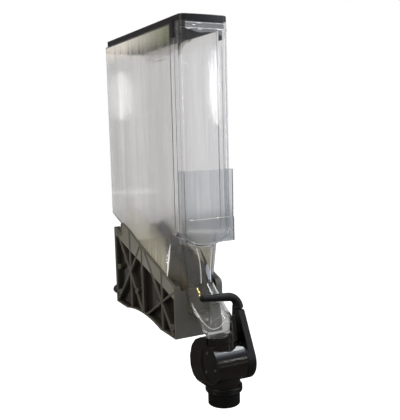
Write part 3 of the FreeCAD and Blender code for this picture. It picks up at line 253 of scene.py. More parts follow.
@dataclass
class SurfaceGroups:
    """The shader node groups that several finishes share, built once."""

    grain: bpy.types.NodeTree = field(init=False)
    streaks: bpy.types.NodeTree = field(init=False)
    dust: bpy.types.NodeTree = field(init=False)
    hanging: bpy.types.NodeTree = field(init=False)
    see_through_tint: bpy.types.NodeTree = field(init=False)
    depth: bpy.types.NodeTree = field(init=False)

    def __post_init__(self) -> None:
        """Builds all groups."""
        self.grain = self.build_grain()
        self.streaks = self.build_streaks()
        self.dust = self.build_dust()
        self.hanging = self.build_hanging()
        self.see_through_tint = self.build_see_through_tint()
        self.depth = self.build_depth()

    @staticmethod
    def coordinates(graph: Graph, upright: float = 1.0) -> bpy.types.NodeSocket:
        """Object coordinates, drawn out in height.

        Args:
            graph: the graph they are read in.
            upright: scale along z; less than 1 draws a pattern out into upright runs.

        Returns:
            The coordinates' socket.
        """
        place = graph.add("ShaderNodeTexCoord")
        mapping = graph.add("ShaderNodeMapping")
        mapping.inputs["Scale"].default_value = (1.0, 1.0, upright)
        graph.link(place.outputs["Object"], mapping.inputs["Vector"])
        return mapping.outputs["Vector"]

    @classmethod
    def place_of(cls, graph: Graph) -> bpy.types.Node:
        """Adds a node that gives the object coordinates apart.

        Args:
            graph: the graph they are read in.

        Returns:
            The node, with the outputs X, Y and Z.
        """
        split = graph.add("ShaderNodeSeparateXYZ")
        graph.link(cls.coordinates(graph), split.inputs[0])
        return split

    @classmethod
    def above_crease(cls, graph: Graph) -> bpy.types.NodeSocket:
        """Height over the sloped crease of the hopper's sides: z - front z - slope (y - front y).

        Args:
            graph: the graph it is worked out in.

        Returns:
            The height's socket.
        """
        split = cls.place_of(graph)
        back = graph.math("SUBTRACT", split.outputs["Y"], CREASE_FRONT[1])
        crease = graph.math("ADD", graph.math("MULTIPLY", back, CREASE_SLOPE), CREASE_FRONT[2])
        return graph.math("SUBTRACT", split.outputs["Z"], crease)

    @staticmethod
    def close_group(
        graph: Graph, sink: bpy.types.Node, mask: bpy.types.NodeSocket, height: bpy.types.NodeSocket
    ) -> bpy.types.NodeTree:
        """Links a group's two outputs.

        Args:
            graph: the group's graph.
            sink: its output node.
            mask: what the Mask output gives.
            height: what the Height output gives.

        Returns:
            The finished group.
        """
        graph.link(mask, sink.inputs[Output.MASK.value])
        graph.link(height, sink.inputs[Output.HEIGHT.value])
        return graph.tree

    def build_grain(self) -> bpy.types.NodeTree:
        """Spark-eroded grain of moulded plastic.

        The height is the distance in fine cells times (coarse noise + 0.5), and the mask is the coarse noise.

        Returns:
            The group.
        """
        graph, source, sink = new_group("moulded_grain", {"Scale": 1.0, "Coarse": 1.0})
        vector = self.coordinates(graph)
        fine = graph.add("ShaderNodeTexVoronoi", feature="SMOOTH_F1")
        graph.link(vector, fine.inputs["Vector"])
        graph.link(graph.math("MULTIPLY", source.outputs["Scale"], 900.0), fine.inputs["Scale"])
        patches = graph.noise(vector, graph.math("MULTIPLY", source.outputs["Coarse"], 34.0))
        height = graph.math("MULTIPLY", fine.outputs["Distance"], graph.math("ADD", patches, 0.5))
        return self.close_group(graph, sink, graph.remap(patches, 0.3, 0.7, 0.0, 1.0), height)

    def build_streaks(self) -> bpy.types.NodeTree:
        """Upright drag lines, as food and cleaning cloths leave them in a clear wall.

        Mask and height are fine noise times (broad noise + 0.5), both drawn out upright.

        Returns:
            The group.
        """
        graph, source, sink = new_group("drag_streaks", {"Density": 1.0})
        density = source.outputs["Density"]
        fine, coarse = (graph.math("MULTIPLY", density, scale) for scale in (260.0, 26.0))
        lines = graph.noise(self.coordinates(graph, 0.016), fine, 5.0, 0.62)
        broad = graph.noise(self.coordinates(graph, 0.10), coarse)
        both = graph.math("MULTIPLY", lines, graph.math("ADD", broad, 0.5))
        return self.close_group(graph, sink, graph.remap(both, 0.3, 0.72, 0.0, 1.0), both)

    def build_dust(self) -> bpy.types.NodeTree:
        """Pale dust that settles on faces that look upwards, in broad cloudy patches.

        The mask is how far a face looks up times a cloudy noise times the amount.

        Returns:
            The group.
        """
        graph, source, sink = new_group("settled_dust", {"Amount": 0.3})
        shape = graph.add("ShaderNodeNewGeometry")
        split = graph.add("ShaderNodeSeparateXYZ")
        graph.link(shape.outputs["Normal"], split.inputs[0])
        upward = graph.remap(split.outputs["Z"], 0.15, 0.95, 0.0, 1.0)
        cloud = graph.noise(self.coordinates(graph), 42.0, 5.0, 0.6)
        patch = graph.remap(cloud, 0.38, 0.72, 0.0, 1.0)
        mask = graph.math("MULTIPLY", graph.math("MULTIPLY", upward, patch), source.outputs["Amount"])
        return self.close_group(graph, sink, mask, cloud)

    def build_hanging(self) -> bpy.types.NodeTree:
        """Soft band under the rim, its lower edge drawn out into upright runs of different lengths.

        The mask falls with the depth under the rim, divided by a reach that an upright noise varies.

        Returns:
            The group.
        """
        graph, source, sink = new_group("hanging_runs", {"Reach": 0.04})
        lines = graph.noise(self.coordinates(graph, 0.02), 120.0, 3.0)
        under = graph.math("SUBTRACT", RIM_HEIGHT, self.place_of(graph).outputs["Z"])
        length = graph.remap(lines, 0.3, 0.7, 0.6, 1.15)
        reach = graph.math("MULTIPLY", source.outputs["Reach"], length)
        mask = graph.remap(graph.math("DIVIDE", under, reach), 0.1, 1.1, 1.0, 0.0)
        return self.close_group(graph, sink, mask, lines)

    def build_see_through_tint(self) -> bpy.types.NodeTree:
        """Painted tint that stands in for the cradle seen through the clear walls, lying thickest over the
        front of the folded floor, in upright runs.

        The mask falls with the height over the floor's crease and towards the back, times an upright noise.

        Returns:
            The group.
        """
        graph, source, sink = new_group("see_through_tint_band", {"Reach": 0.085})
        lines = graph.noise(self.coordinates(graph, 0.05), 150.0, 4.0, 0.6)
        height = graph.math("DIVIDE", self.above_crease(graph), source.outputs["Reach"])
        low = graph.remap(height, 0.15, 1.0, 1.0, 0.0)
        back = graph.remap(self.place_of(graph).outputs["Y"], 0.10, 0.30, 1.0, 0.0)
        runs = graph.remap(lines, 0.25, 0.7, 0.35, 1.0)
        mask = graph.math("MULTIPLY", graph.math("MULTIPLY", low, back), runs)
        return self.close_group(graph, sink, mask, lines)

    def build_depth(self) -> bpy.types.NodeTree:
        """How far out a spot of the cradle lies.

        The height is 0 on the recess floors and 1 on the outer faces of the ribs; the mask is its opposite,
        and fades out on the front plate.

        Returns:
            The group.
        """
        graph, source, sink = new_group("outward_depth", {"Floor": 0.044, "Rib": 0.058})
        split = self.place_of(graph)
        out = graph.math("ABSOLUTE", split.outputs["X"])
        depth = graph.remap(out, source.outputs["Floor"], source.outputs["Rib"], 0.0, 1.0)
        side = graph.remap(split.outputs["Y"], -0.007, 0.002, 0.0, 1.0)
        inward = graph.math("SUBTRACT", 1.0, depth)
        return self.close_group(graph, sink, graph.math("MULTIPLY", inward, side), depth)


# ---- finishes ---------------------------------------------------------------------------------

@dataclass(frozen=True)
class Finish:
    """Common ground of all finishes: a name and a way to start a material."""

    name: str

    def start(self) -> tuple[bpy.types.Material, Graph, bpy.types.Node]:
        """Makes an empty material with a Principled BSDF on its output.

        Returns:
            The material, its graph and the shader node.
        """
        material = bpy.data.materials.new(self.name)
        graph = bare_graph(material)
        output = graph.add("ShaderNodeOutputMaterial")
        shader = graph.add("ShaderNodeBsdfPrincipled")
        graph.link(shader.outputs["BSDF"], output.inputs["Surface"])
        return material, graph, shader

    @staticmethod
    def place(graph: Graph, tree: bpy.types.NodeTree, **values: float) -> bpy.types.Node:
        """Places a shared group in a material.

        Args:
            graph: the material's graph.
            tree: the group.
            values: the material's own values for the group's inputs.

        Returns:
            The group's node.
        """
        node = graph.add("ShaderNodeGroup", node_tree=tree)
        for label, value in values.items():
            node.inputs[label].default_value = value
        return node

    @staticmethod
    def bump(graph: Graph, shader: bpy.types.Node, height: bpy.types.NodeSocket, depth: float) -> None:
        """Feeds a height to the shader's normal.

        Args:
            graph: the material's graph.
            shader: the shader node.
            height: the height, from 0 to about 1.
            depth: what a height of 1 stands for, in metres.
        """
        node = graph.add("ShaderNodeBump")
        node.inputs["Strength"].default_value = 1.0
        node.inputs["Distance"].default_value = depth
        graph.link(height, node.inputs["Height"])
        graph.link(node.outputs["Normal"], shader.inputs["Normal"])

    def build(self, groups: SurfaceGroups) -> bpy.types.Material:
        """Makes the material; each kind of finish has its own way."""
        raise NotImplementedError


@dataclass(frozen=True)
class ClearPlastic(Finish):
    """Clear moulded plastic, hazed by drag streaks."""

    tint: Colour
    haze: Colour
    transmission: float
    rough_low: float = 0.02
    rough_high: float = 0.14
    ripple: float = 0.00002
    runs: Colour | None = None
    see_through_tint: Colour | None = None

    def build(self, groups: SurfaceGroups) -> bpy.types.Material:
        """Makes the material: streaks vary its tint, gloss and surface; runs tone a band under the rim, and a
        painted tint stands in for the cradle seen through the wall.

        Args:
            groups: the shared surface groups.

        Returns:
            The material.
        """
        material, graph, shader = self.start()
        streaks = self.place(graph, groups.streaks)
        mask = streaks.outputs["Mask"]
        body = graph.blend(mask, self.tint, self.haze)
        if self.runs:
            hanging = self.place(graph, groups.hanging)
            body = graph.blend(hanging.outputs["Mask"], body, self.runs)
        # Painted tint: the cradle seen through the wall is laid on as colour over the front of the sloped
        # floor.
        if self.see_through_tint:
            film = self.place(graph, groups.see_through_tint)
            body = graph.blend(film.outputs["Mask"], body, self.see_through_tint)
        graph.link(body, shader.inputs["Base Color"])
        graph.link(graph.remap(mask, 0.0, 1.0, self.rough_low, self.rough_high), shader.inputs["Roughness"])
        shader.inputs["IOR"].default_value = ACRYLIC_IOR
        shader.inputs["Transmission Weight"].default_value = self.transmission
        self.bump(graph, shader, streaks.outputs["Height"], self.ripple)
        return material


@dataclass(frozen=True)
class MouldedPlastic(Finish):
    """Opaque moulded plastic with a fine grain, tone variation and settled dust; a glowing finish is painted
    light.
    """

    colour: Colour
    roughness: float
    grain_depth: float = 0.00008
    dust: float = 0.25
    dust_colour: Colour = (0.42, 0.40, 0.36)
    sheen_tone: float = 1.35
    coat: float = 0.0
    specular: float = 0.5
    glow: float = 0.0

    def light_and_shade(self, graph: Graph, groups: SurfaceGroups, body: bpy.types.NodeSocket) -> bpy.types.NodeSocket:
        """The body's tone with painted light and shade, of which a plain moulding has none."""
        return body

    def build(self, groups: SurfaceGroups) -> bpy.types.Material:
        """Makes the material: tone and gloss wander a little, and dust lies on upward faces.

        Args:
            groups: the shared surface groups.

        Returns:
            The material.
        """
        material, graph, shader = self.start()
        grain = self.place(graph, groups.grain)
        dust = self.place(graph, groups.dust, Amount=self.dust)
        lighter = tuple(min(1.0, part * self.sheen_tone) for part in self.colour)
        body = self.light_and_shade(graph, groups, graph.blend(grain.outputs["Mask"], self.colour, lighter))
        graph.link(graph.blend(dust.outputs["Mask"], body, self.dust_colour), shader.inputs["Base Color"])
        smooth, rough = (min(1.0, self.roughness * share) for share in GLOSS_SPREAD)
        gloss = graph.remap(grain.outputs["Mask"], 0.0, 1.0, smooth, rough)
        matt = graph.math("MULTIPLY", dust.outputs["Mask"], DUST_MATT)
        graph.link(graph.math("ADD", gloss, matt), shader.inputs["Roughness"])
        shader.inputs["Coat Weight"].default_value = self.coat
        shader.inputs["Coat Roughness"].default_value = COAT_ROUGHNESS
        shader.inputs["Specular IOR Level"].default_value = self.specular
        # Painted light: a glowing finish shines by itself, though it is no lamp.
        if self.glow:
            graph.link(body, shader.inputs["Emission Color"])
            shader.inputs["Emission Strength"].default_value = self.glow
        self.bump(graph, shader, grain.outputs["Height"], self.grain_depth)
        return material


@dataclass(frozen=True)
class CradlePlastic(MouldedPlastic):
    """Moulded plastic of the ribbed cradle, with painted shade in the recesses, painted light on the plates
    and a painted lighter front.
    """

    # Painted shade colour of the recesses, painted light colour of the plates between the ribs, and the
    # painted lighter tone of the front face.
    recess: Colour = (0.020, 0.017, 0.012)
    plate_light: Colour = (0.30, 0.29, 0.24)
    facing: Colour = (0.165, 0.162, 0.142)
    plate_depth: Range = (0.70, 0.78)
    rib_depth: Range = (0.94, 0.97)
    rib_share: float = 0.08
    front_y: Range = (-0.0085, -0.006)

    def light_and_shade(self, graph: Graph, groups: SurfaceGroups, body: bpy.types.NodeSocket) -> bpy.types.NodeSocket:
        """Paints light and shade on the cradle by how far out and how far ahead a spot lies.

        The plates between the ribs get a painted pale light, the ribs' outer faces hardly any, the recesses
        get a painted shade, and the front face a painted lighter tone, as if more light fell on it.

        Args:
            graph: the material's graph.
            groups: the shared surface groups.
            body: the plain tone.

        Returns:
            The socket of the tone with painted light and shade.
        """
        depth = self.place(graph, groups.depth)
        plate = graph.remap(depth.outputs["Height"], *self.plate_depth, 0.0, 1.0)
        rib = graph.remap(depth.outputs["Height"], *self.rib_depth, 1.0, self.rib_share)
        # Painted light: the plates between the ribs are toned pale, the ribs' outer faces hardly.
        body = graph.blend(graph.math("MULTIPLY", plate, rib), body, self.plate_light)
        # Painted shade: the recesses are darkened.
        recess_shade_share = graph.math("POWER", depth.outputs["Mask"], 0.6)
        body = graph.blend(recess_shade_share, body, self.recess)
        # Painted light: the front face gets a lighter tone, as if more light fell on it.
        ahead = SurfaceGroups.place_of(graph).outputs["Y"]
        return graph.blend(graph.remap(ahead, *self.front_y, 1.0, 0.0), body, self.facing)


@dataclass(frozen=True)
class RimFilm(Finish):
    """Thin pale film on a clear wall, thickest at the rim and drawn out into runs, with an optional tone
    towards the front; it glows by itself, which is painted light.
    """

    colour: Colour
    cover: float
    glow: float
    reach: float = 0.050
    front: Colour | None = None
    front_y: Range = (0.0, 0.24)

    def spread(self, graph: Graph, groups: SurfaceGroups) -> bpy.types.Node:
        """The group whose mask thins the film out."""
        return self.place(graph, groups.hanging, Reach=self.reach)

    def build(self, groups: SurfaceGroups) -> bpy.types.Material:
        """Makes the material: the film's mask thins it out, and its runs vary its tone.

        Args:
            groups: the shared surface groups.

        Returns:
            The material.
        """
        material, graph, shader = self.start()
        runs = self.spread(graph, groups)
        paler = tuple(min(1.0, part * FILM_PALER) for part in self.colour)
        tone = graph.blend(runs.outputs["Height"], self.colour, paler)
        if self.front is not None:
            ahead = graph.remap(SurfaceGroups.place_of(graph).outputs["Y"], *self.front_y, 1.0, 0.0)
            tone = graph.blend(ahead, tone, self.front)
        graph.link(tone, shader.inputs["Base Color"])
        graph.link(graph.math("MULTIPLY", runs.outputs["Mask"], self.cover), shader.inputs["Alpha"])
        shader.inputs["Roughness"].default_value = FILM_ROUGHNESS
        # Painted light: the film glows by itself, though it is no lamp.
        graph.link(tone, shader.inputs["Emission Color"])
        shader.inputs["Emission Strength"].default_value = self.glow
        return material


@dataclass(frozen=True)
class FloorFilm(RimFilm):
    """Painted, self-lit tint on the side walls that stands in for the cradle seen through them, thickest
    along the sloped floor.
    """

    def spread(self, graph: Graph, groups: SurfaceGroups) -> bpy.types.Node:
        """The group whose mask thins the film out upwards and towards the back."""
        return self.place(graph, groups.see_through_tint, Reach=self.reach)


@dataclass(frozen=True)
class PlatedSteel(Finish):
    """Zinc-plated steel with a fine texture."""

    colour: Colour = (0.62, 0.62, 0.60)
    cloud_tone: float = 0.72
    roughness: Range = (0.26, 0.44)
    grain_depth: float = 0.00001

    def build(self, groups: SurfaceGroups) -> bpy.types.Material:
        """Makes the material: fine grain, and cloudy plating.

        Args:
            groups: the shared surface groups.

        Returns:
            The material.
        """
        material, graph, shader = self.start()
        grain = self.place(graph, groups.grain, Scale=0.8, Coarse=6.0)
        darker = tuple(part * self.cloud_tone for part in self.colour)
        graph.link(graph.blend(grain.outputs["Mask"], self.colour, darker), shader.inputs["Base Color"])
        graph.link(graph.remap(grain.outputs["Mask"], 0.0, 1.0, *self.roughness), shader.inputs["Roughness"])
        shader.inputs["Metallic"].default_value = 1.0
        self.bump(graph, shader, grain.outputs["Height"], self.grain_depth)
        return material


# ---- the studio -------------------------------------------------------------------------------

# The lamps' common tone, and the spots of the bin that they look at.
SOFT: Colour = (1.0, 0.99, 0.98)
VALVE: Place = (0.0, -0.115, -0.02)
COLUMN: Place = (0.0, -0.05, 0.5)
PANEL: Place = (-0.054, 0.25, 0.45)
MIDDLE: Place = (0.0, 0.0, 0.3)


@dataclass(frozen=True)
class Lamp:
    """An area lamp: where it stands, what it looks at, its width and height in metres, watts and tone."""

    name: str
    place: Place
    aim: Place
    size: Range
    power: float
    tone: Colour = SOFT
    shape: LampShape = LampShape.ROUND


LAMPS: tuple[Lamp, ...] = (
    Lamp("overhead_lamp", (0.80, -0.36, 1.38), VALVE, (1.05, 0.45), 3.7, (0.86, 0.93, 1.0), LampShape.PANEL),
    Lamp("drum_glint", (0.80, -0.16, 1.42), VALVE, (0.95, 0.10), 3.8, (0.93, 0.97, 1.0)),
    Lamp("window_lamp", (0.79, -0.95, 1.24), VALVE, (0.85, 0.32), 0.62, (0.42, 0.66, 1.0), LampShape.PANEL),
    Lamp("left_lamp", (-1.55, -0.60, 0.80), MIDDLE, (0.30, 1.3), 3.0, SOFT, LampShape.PANEL),
    Lamp("right_lamp", (1.35, -0.95, 0.60), MIDDLE, (0.22, 1.3), 7.0, (0.97, 0.98, 1.0), LampShape.PANEL),
    Lamp("rear_glint", (-0.645, 1.86, 0.62), PANEL, (0.10, 0.24), 0.115),
    Lamp("rear_ledge_glint", (-0.67, 1.77, 0.14), PANEL, (0.26, 0.02), 0.012),
    Lamp("corner_glint", (-1.69, -0.50, 0.62), COLUMN, (0.12, 0.34), 2.8),
    Lamp("front_thin_glint", (0.82, -1.57, 0.64), COLUMN, (0.010, 0.26), 0.10),
    Lamp("front_broad_glint", (0.838, -1.555, 0.64), COLUMN, (0.030, 0.36), 0.40),
    Lamp("low_strip", (0.79, -1.66, -0.05), VALVE, (0.30, 0.02), 0.08, (1.0, 0.98, 0.95), LampShape.PANEL),
    Lamp("warm_bulb", (-1.19, 0.15, 1.30), VALVE, (0.055, 0.055), 2.4, (1.0, 0.70, 0.16)),
    Lamp("low_bulb", (-0.65, 1.20, -0.10), VALVE, (0.05, 0.05), 0.5),
)


@dataclass
class Studio:
    """Camera, lamps, world and floor."""

    eye: Place = (-0.5990, -1.1963, 0.4438)
    yaw: float = 27.0975
    pitch: float = 7.2637
    roll: float = -1.4375
    focal_px: float = 632.1
    frame_px: tuple[int, int] = (400, 420)
    sensor_mm: float = 36.0
    clip: Range = (0.02, 40.0)
    floor_z: float = -0.62
    floor_reach: float = 6.0

    def camera(self) -> None:
        """Makes the camera at its place, turned by yaw, pitch and roll."""
        yaw, pitch, roll = (math.radians(angle) for angle in (self.yaw, self.pitch, self.roll))
        ahead = Vector((math.sin(yaw) * math.cos(pitch), math.cos(yaw) * math.cos(pitch), -math.sin(pitch)))
        level = Vector((math.cos(yaw), -math.sin(yaw), 0.0))
        upright = level.cross(ahead)
        right = level * math.cos(roll) + upright * math.sin(roll)
        up = upright * math.cos(roll) - level * math.sin(roll)
        data = bpy.data.cameras.new("studio_camera")
        data.sensor_width = self.sensor_mm
        data.lens = self.focal_px / max(self.frame_px) * self.sensor_mm
        data.clip_start, data.clip_end = self.clip
        eye = bpy.data.objects.new("studio_camera", data)
        turned = Matrix((right, up, -ahead)).transposed().to_4x4()
        eye.matrix_world = Matrix.Translation(Vector(self.eye)) @ turned
        bpy.context.scene.collection.objects.link(eye)
        bpy.context.scene.camera = eye

    def light(self, lamp: Lamp) -> None:
        """Adds a lamp that no camera or transmission ray sees.

        Args:
            lamp: the lamp.
        """
        data = bpy.data.lights.new(lamp.name, "AREA")
        data.shape = lamp.shape.value
        data.size, data.size_y = lamp.size
        data.energy = lamp.power
        data.color = lamp.tone
        place = Vector(lamp.place)
        facing = (Vector(lamp.aim) - place).to_track_quat("-Z", "Y")
        light = bpy.data.objects.new(lamp.name, data)
        light.matrix_world = Matrix.Translation(place) @ facing.to_matrix().to_4x4()
        light.visible_camera = False
        light.visible_transmission = False
        bpy.context.scene.collection.objects.link(light)

    @staticmethod
    def sky(graph: Graph, low: Colour, middle: Colour, high: Colour) -> bpy.types.NodeSocket:
        """A room's tones by height of view: low, level and high.

        Args:
            graph: the world's graph.
            low: tone below the horizon.
            middle: tone at the horizon.
            high: tone above.

        Returns:
            The colour's socket.
        """
        place = graph.add("ShaderNodeTexCoord")
        split = graph.add("ShaderNodeSeparateXYZ")
        graph.link(place.outputs["Generated"], split.inputs[0])
        upper = graph.remap(split.outputs["Z"], 0.02, 0.55, 0.0, 1.0)
        lower = graph.remap(split.outputs["Z"], -0.02, -0.35, 0.0, 1.0)
        return graph.blend(lower, graph.blend(upper, middle, high), low)

    def backdrop(self, graph: Graph, full: float, none: float) -> bpy.types.NodeSocket:
        """How much of the pale sweep behind the bin lies in a direction: 1 behind it, 0 to its sides.

        Args:
            graph: the world's graph.
            full: angle from the middle, in degrees, up to which the sweep is all there.
            none: angle from which none of it is left.

        Returns:
            The share's socket.
        """
        place = graph.add("ShaderNodeTexCoord")
        across = graph.add("ShaderNodeVectorMath", operation="DOT_PRODUCT")
        graph.link(place.outputs["Generated"], across.inputs[0])
        yaw = math.radians(self.yaw)
        across.inputs[1].default_value = (math.sin(yaw), math.cos(yaw), 0.0)
        edges = [math.cos(math.radians(angle)) for angle in (none, full)]
        return graph.remap(across.outputs["Value"], *edges, 0.0, 1.0)

    def world(self) -> None:
        """Makes the surroundings.

        They are white where the camera sees them, a pale sweep where they shine through the bin, a dim room
        where they are mirrored, and a grey one where they only light.
        """
        world = bpy.data.worlds.new("studio_world")
        graph = bare_graph(world)
        path = graph.add("ShaderNodeLightPath")
        ambient = self.sky(graph, (0.20, 0.19, 0.18), (0.30, 0.30, 0.30), (0.50, 0.50, 0.51))
        mirrored = self.sky(graph, (0.05, 0.042, 0.034), (0.10, 0.10, 0.105), (0.20, 0.20, 0.21))
        sweep = self.sky(graph, (0.86, 0.85, 0.83), (1.0, 0.99, 0.98), (1.0, 1.0, 1.0))
        through = graph.blend(self.backdrop(graph, 34.0, 58.0), (0.16, 0.16, 0.15), sweep)
        mirrored = graph.blend(self.backdrop(graph, 24.0, 40.0), mirrored, (0.62, 0.60, 0.57))
        colour = graph.blend(path.outputs["Is Glossy Ray"], ambient, mirrored)
        colour = graph.blend(path.outputs["Is Transmission Ray"], colour, through)
        colour = graph.blend(path.outputs["Is Camera Ray"], colour, (1.0, 1.0, 1.0))
        background = graph.add("ShaderNodeBackground")
        graph.link(colour, background.inputs["Color"])
        output = graph.add("ShaderNodeOutputWorld")
        graph.link(background.outputs["Background"], output.inputs["Surface"])
        bpy.context.scene.world = world

    def floor(self) -> None:
        """Lays a pale floor, a square well below the valve; it takes the bin's shadow."""
        side = np.array([-1.0, 1.0]) * self.floor_reach
        x, y = np.meshgrid(side, side)
        corners = np.stack([x.ravel(), y.ravel(), np.full(4, self.floor_z)], axis=1)
        mesh = bpy.data.meshes.new("studio_floor")
        mesh.from_pydata(corners.tolist(), [], [(0, 1, 3, 2)])
        floor = bpy.data.objects.new("studio_floor", mesh)
        bpy.context.scene.collection.objects.link(floor)
        material = bpy.data.materials.new("floor_white")
        graph = bare_graph(material)
        path = graph.add("ShaderNodeLightPath")
        shader = graph.add("ShaderNodeBsdfPrincipled")
        mirrored = graph.blend(path.outputs["Is Glossy Ray"], (0.72, 0.71, 0.69), (0.07, 0.065, 0.06))
        graph.link(mirrored, shader.inputs["Base Color"])
        shader.inputs["Roughness"].default_value = 0.9
        shader.inputs["Emission Color"].default_value = (1.0, 1.0, 1.0, 1.0)
        direct = graph.math("MULTIPLY", path.outputs["Is Camera Ray"], 0.85)
        behind = graph.math("MULTIPLY", path.outputs["Is Transmission Ray"], 0.45)
        graph.link(graph.math("ADD", direct, behind), shader.inputs["Emission Strength"])
        output = graph.add("ShaderNodeOutputMaterial")
        graph.link(shader.outputs["BSDF"], output.inputs["Surface"])
        mesh.materials.append(material)

    def build(self) -> None:
        """Sets up the whole studio."""
        self.camera()
        self.world()
        for lamp in LAMPS:
            self.light(lamp)
        self.floor()
        bpy.context.scene.view_settings.view_transform = "Standard"


# ---- dressing of the nodes --------------------------------------------------------------------

@dataclass
class Wardrobe:
    """All materials, made once and handed out by finish."""

    groups: SurfaceGroups
    made: dict[str, bpy.types.Material] = field(default_factory=dict)

    def get(self, finish: Finish) -> bpy.types.Material:
        """The material of a finish, made when it is first asked for.

        Args:
            finish: the finish.

        Returns:
            Its material.
        """
        if finish.name not in self.made:
            self.made[finish.name] = finish.build(self.groups)
        return self.made[finish.name]

    def dress(self, node: str, finish: Finish) -> None:
        """Puts a finish on every material slot of a CAD node.

        Args:
            node: the node's name.
            finish: the finish.
        """
        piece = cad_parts[node]
        material = self.get(finish)
        if not piece.material_slots:
            piece.data.materials.append(material)
        for slot in piece.material_slots:
            slot.material = material
        LOG.info("%s dressed in %s", node, finish.name)


# The side walls' warm tint over the sloped floor is painted: it stands in for the cradle seen through them.
PANEL_CLEAR = ClearPlastic(
    "panel_clear", tint=(0.99, 0.99, 0.995), haze=(0.83, 0.822, 0.825), transmission=0.94,
    rough_low=0.03, rough_high=0.16, runs=(0.90, 0.88, 0.82), see_through_tint=(0.87, 0.81, 0.63))
COLUMN_CLEAR = ClearPlastic(
    "column_clear", tint=(0.985, 0.985, 0.995), haze=(0.855, 0.855, 0.885), transmission=0.96,
    rough_low=0.03, rough_high=0.09, ripple=0.000005)
SPOUT_CLEAR = ClearPlastic(
    "spout_clear", tint=(0.985, 0.985, 0.975), haze=(0.90, 0.91, 0.90), transmission=0.95,
    rough_low=0.0, rough_high=0.03)
LABEL_CLEAR = ClearPlastic(
    "label_clear", tint=(0.965, 0.98, 0.99), haze=(0.82, 0.85, 0.88), transmission=0.95,
    rough_low=0.03, rough_high=0.09, ripple=0.000005)
LID_BLACK = MouldedPlastic("lid_black", colour=(0.016, 0.015, 0.018), roughness=0.42, dust=0.06)
CRADLE_OLIVE = CradlePlastic("cradle_olive", colour=(0.070, 0.066, 0.053), roughness=0.48, dust=0.12)
VALVE_GLOSS = MouldedPlastic(
    "valve_gloss", colour=(0.0095, 0.0078, 0.0064), roughness=0.17, grain_depth=0.000004, dust=0.01,
    coat=0.15)
SPOUT_BLACK = MouldedPlastic(
    "spout_black", colour=(0.004, 0.0038, 0.0035), roughness=0.38, dust=0.01, specular=0.35)
LEVER_BLACK = MouldedPlastic(
    "lever_black", colour=(0.0045, 0.0045, 0.005), roughness=0.52, grain_depth=0.00014, dust=0.02,
    specular=0.4)
COVER_BLACK = MouldedPlastic(
    "cover_black", colour=(0.007, 0.0058, 0.0048), roughness=0.5, dust=0.02, specular=0.35)
GATE_GREY = MouldedPlastic("gate_grey", colour=(0.05, 0.05, 0.05), roughness=0.4, dust=0.05)
BUSH_CREAM = MouldedPlastic("bush_cream", colour=(0.62, 0.60, 0.53), roughness=0.4, dust=0.0)
# Painted highlights: pale, self-lit finishes for the lit lines, rims and glints of the clear parts and the
# label's step.
PAINTED_HIGHLIGHT = MouldedPlastic(
    "painted_highlight", colour=(0.78, 0.79, 0.80), roughness=0.22, grain_depth=0.00002, dust=0.0, glow=0.30)
PAINTED_WARM_HIGHLIGHT = MouldedPlastic(
    "painted_warm_highlight", colour=(0.80, 0.74, 0.66), roughness=0.25, grain_depth=0.00002, dust=0.0, glow=0.22)
# Self-lit films, their glow painted light: the rim film, a painted highlight patch, a film that lightens the
# front moulding under the lid, and a painted tint of the cradle seen through the side walls.
RIM_FILM = RimFilm("rim_film", colour=(0.82, 0.79, 0.76), cover=0.62, glow=0.32, front=(0.26, 0.28, 0.20))
PAINTED_PALE_PATCH = RimFilm("painted_pale_patch", colour=(0.62, 0.66, 0.75), cover=0.42, glow=0.30, reach=EVERYWHERE)
RIM_GLOW_FILM = RimFilm("rim_glow_film", colour=(0.60, 0.60, 0.64), cover=0.20, glow=0.15, reach=EVERYWHERE)
FLOOR_FILM = FloorFilm("floor_film", colour=(0.58, 0.55, 0.44), cover=0.55, glow=0.20, reach=0.100)
# Painted shade: a dark finish for the dark lines, beads and patches of the clear parts.
PAINTED_SHADE = MouldedPlastic(
    "painted_shade", colour=(0.035, 0.040, 0.036), roughness=0.16, grain_depth=0.00003, dust=0.0)
SEAM_GREY = MouldedPlastic(
    "seam_grey", colour=(0.10, 0.10, 0.10), roughness=0.3, grain_depth=0.00003, dust=0.0)
RUBBER_BLACK = MouldedPlastic("rubber_black", colour=(0.014, 0.013, 0.012), roughness=0.72, dust=0.2)
STEEL = PlatedSteel("plated_steel")

NODE_FINISH: dict[str, Finish] = {
    "hopper_body": PANEL_CLEAR, "hopper_front": COLUMN_CLEAR, "hopper_spout": SPOUT_CLEAR,
    "label_holder": LABEL_CLEAR, "lid": LID_BLACK, "lid_hinge_rail": LID_BLACK, "lid_hinge_pin": STEEL,
    "cradle_left": CRADLE_OLIVE, "cradle_right": CRADLE_OLIVE, "cradle_screws": STEEL,
    "rear_bumpers": RUBBER_BLACK, "valve_housing": VALVE_GLOSS, "inlet_seal": RUBBER_BLACK,
    "side_cover": COVER_BLACK, "cover_screws": STEEL, "bushing_left": BUSH_CREAM, "bushing_right": BUSH_CREAM,
    "stop_pin": STEEL, "gate_rotor": GATE_GREY, "outlet_tube": SPOUT_BLACK, "bag_ring": SPOUT_BLACK,
    "lever_arm": LEVER_BLACK, "lever_grip": LEVER_BLACK, "return_spring": STEEL, "hub_washer": STEEL,
    "hub_screw": STEEL,
}


# ---- surfaces ---------------------------------------------------------------------------------

@dataclass(frozen=True)
class Skin:
    """A closed mesh in metres: its points and its faces."""

    points: np.ndarray
    faces: list[list[int]]


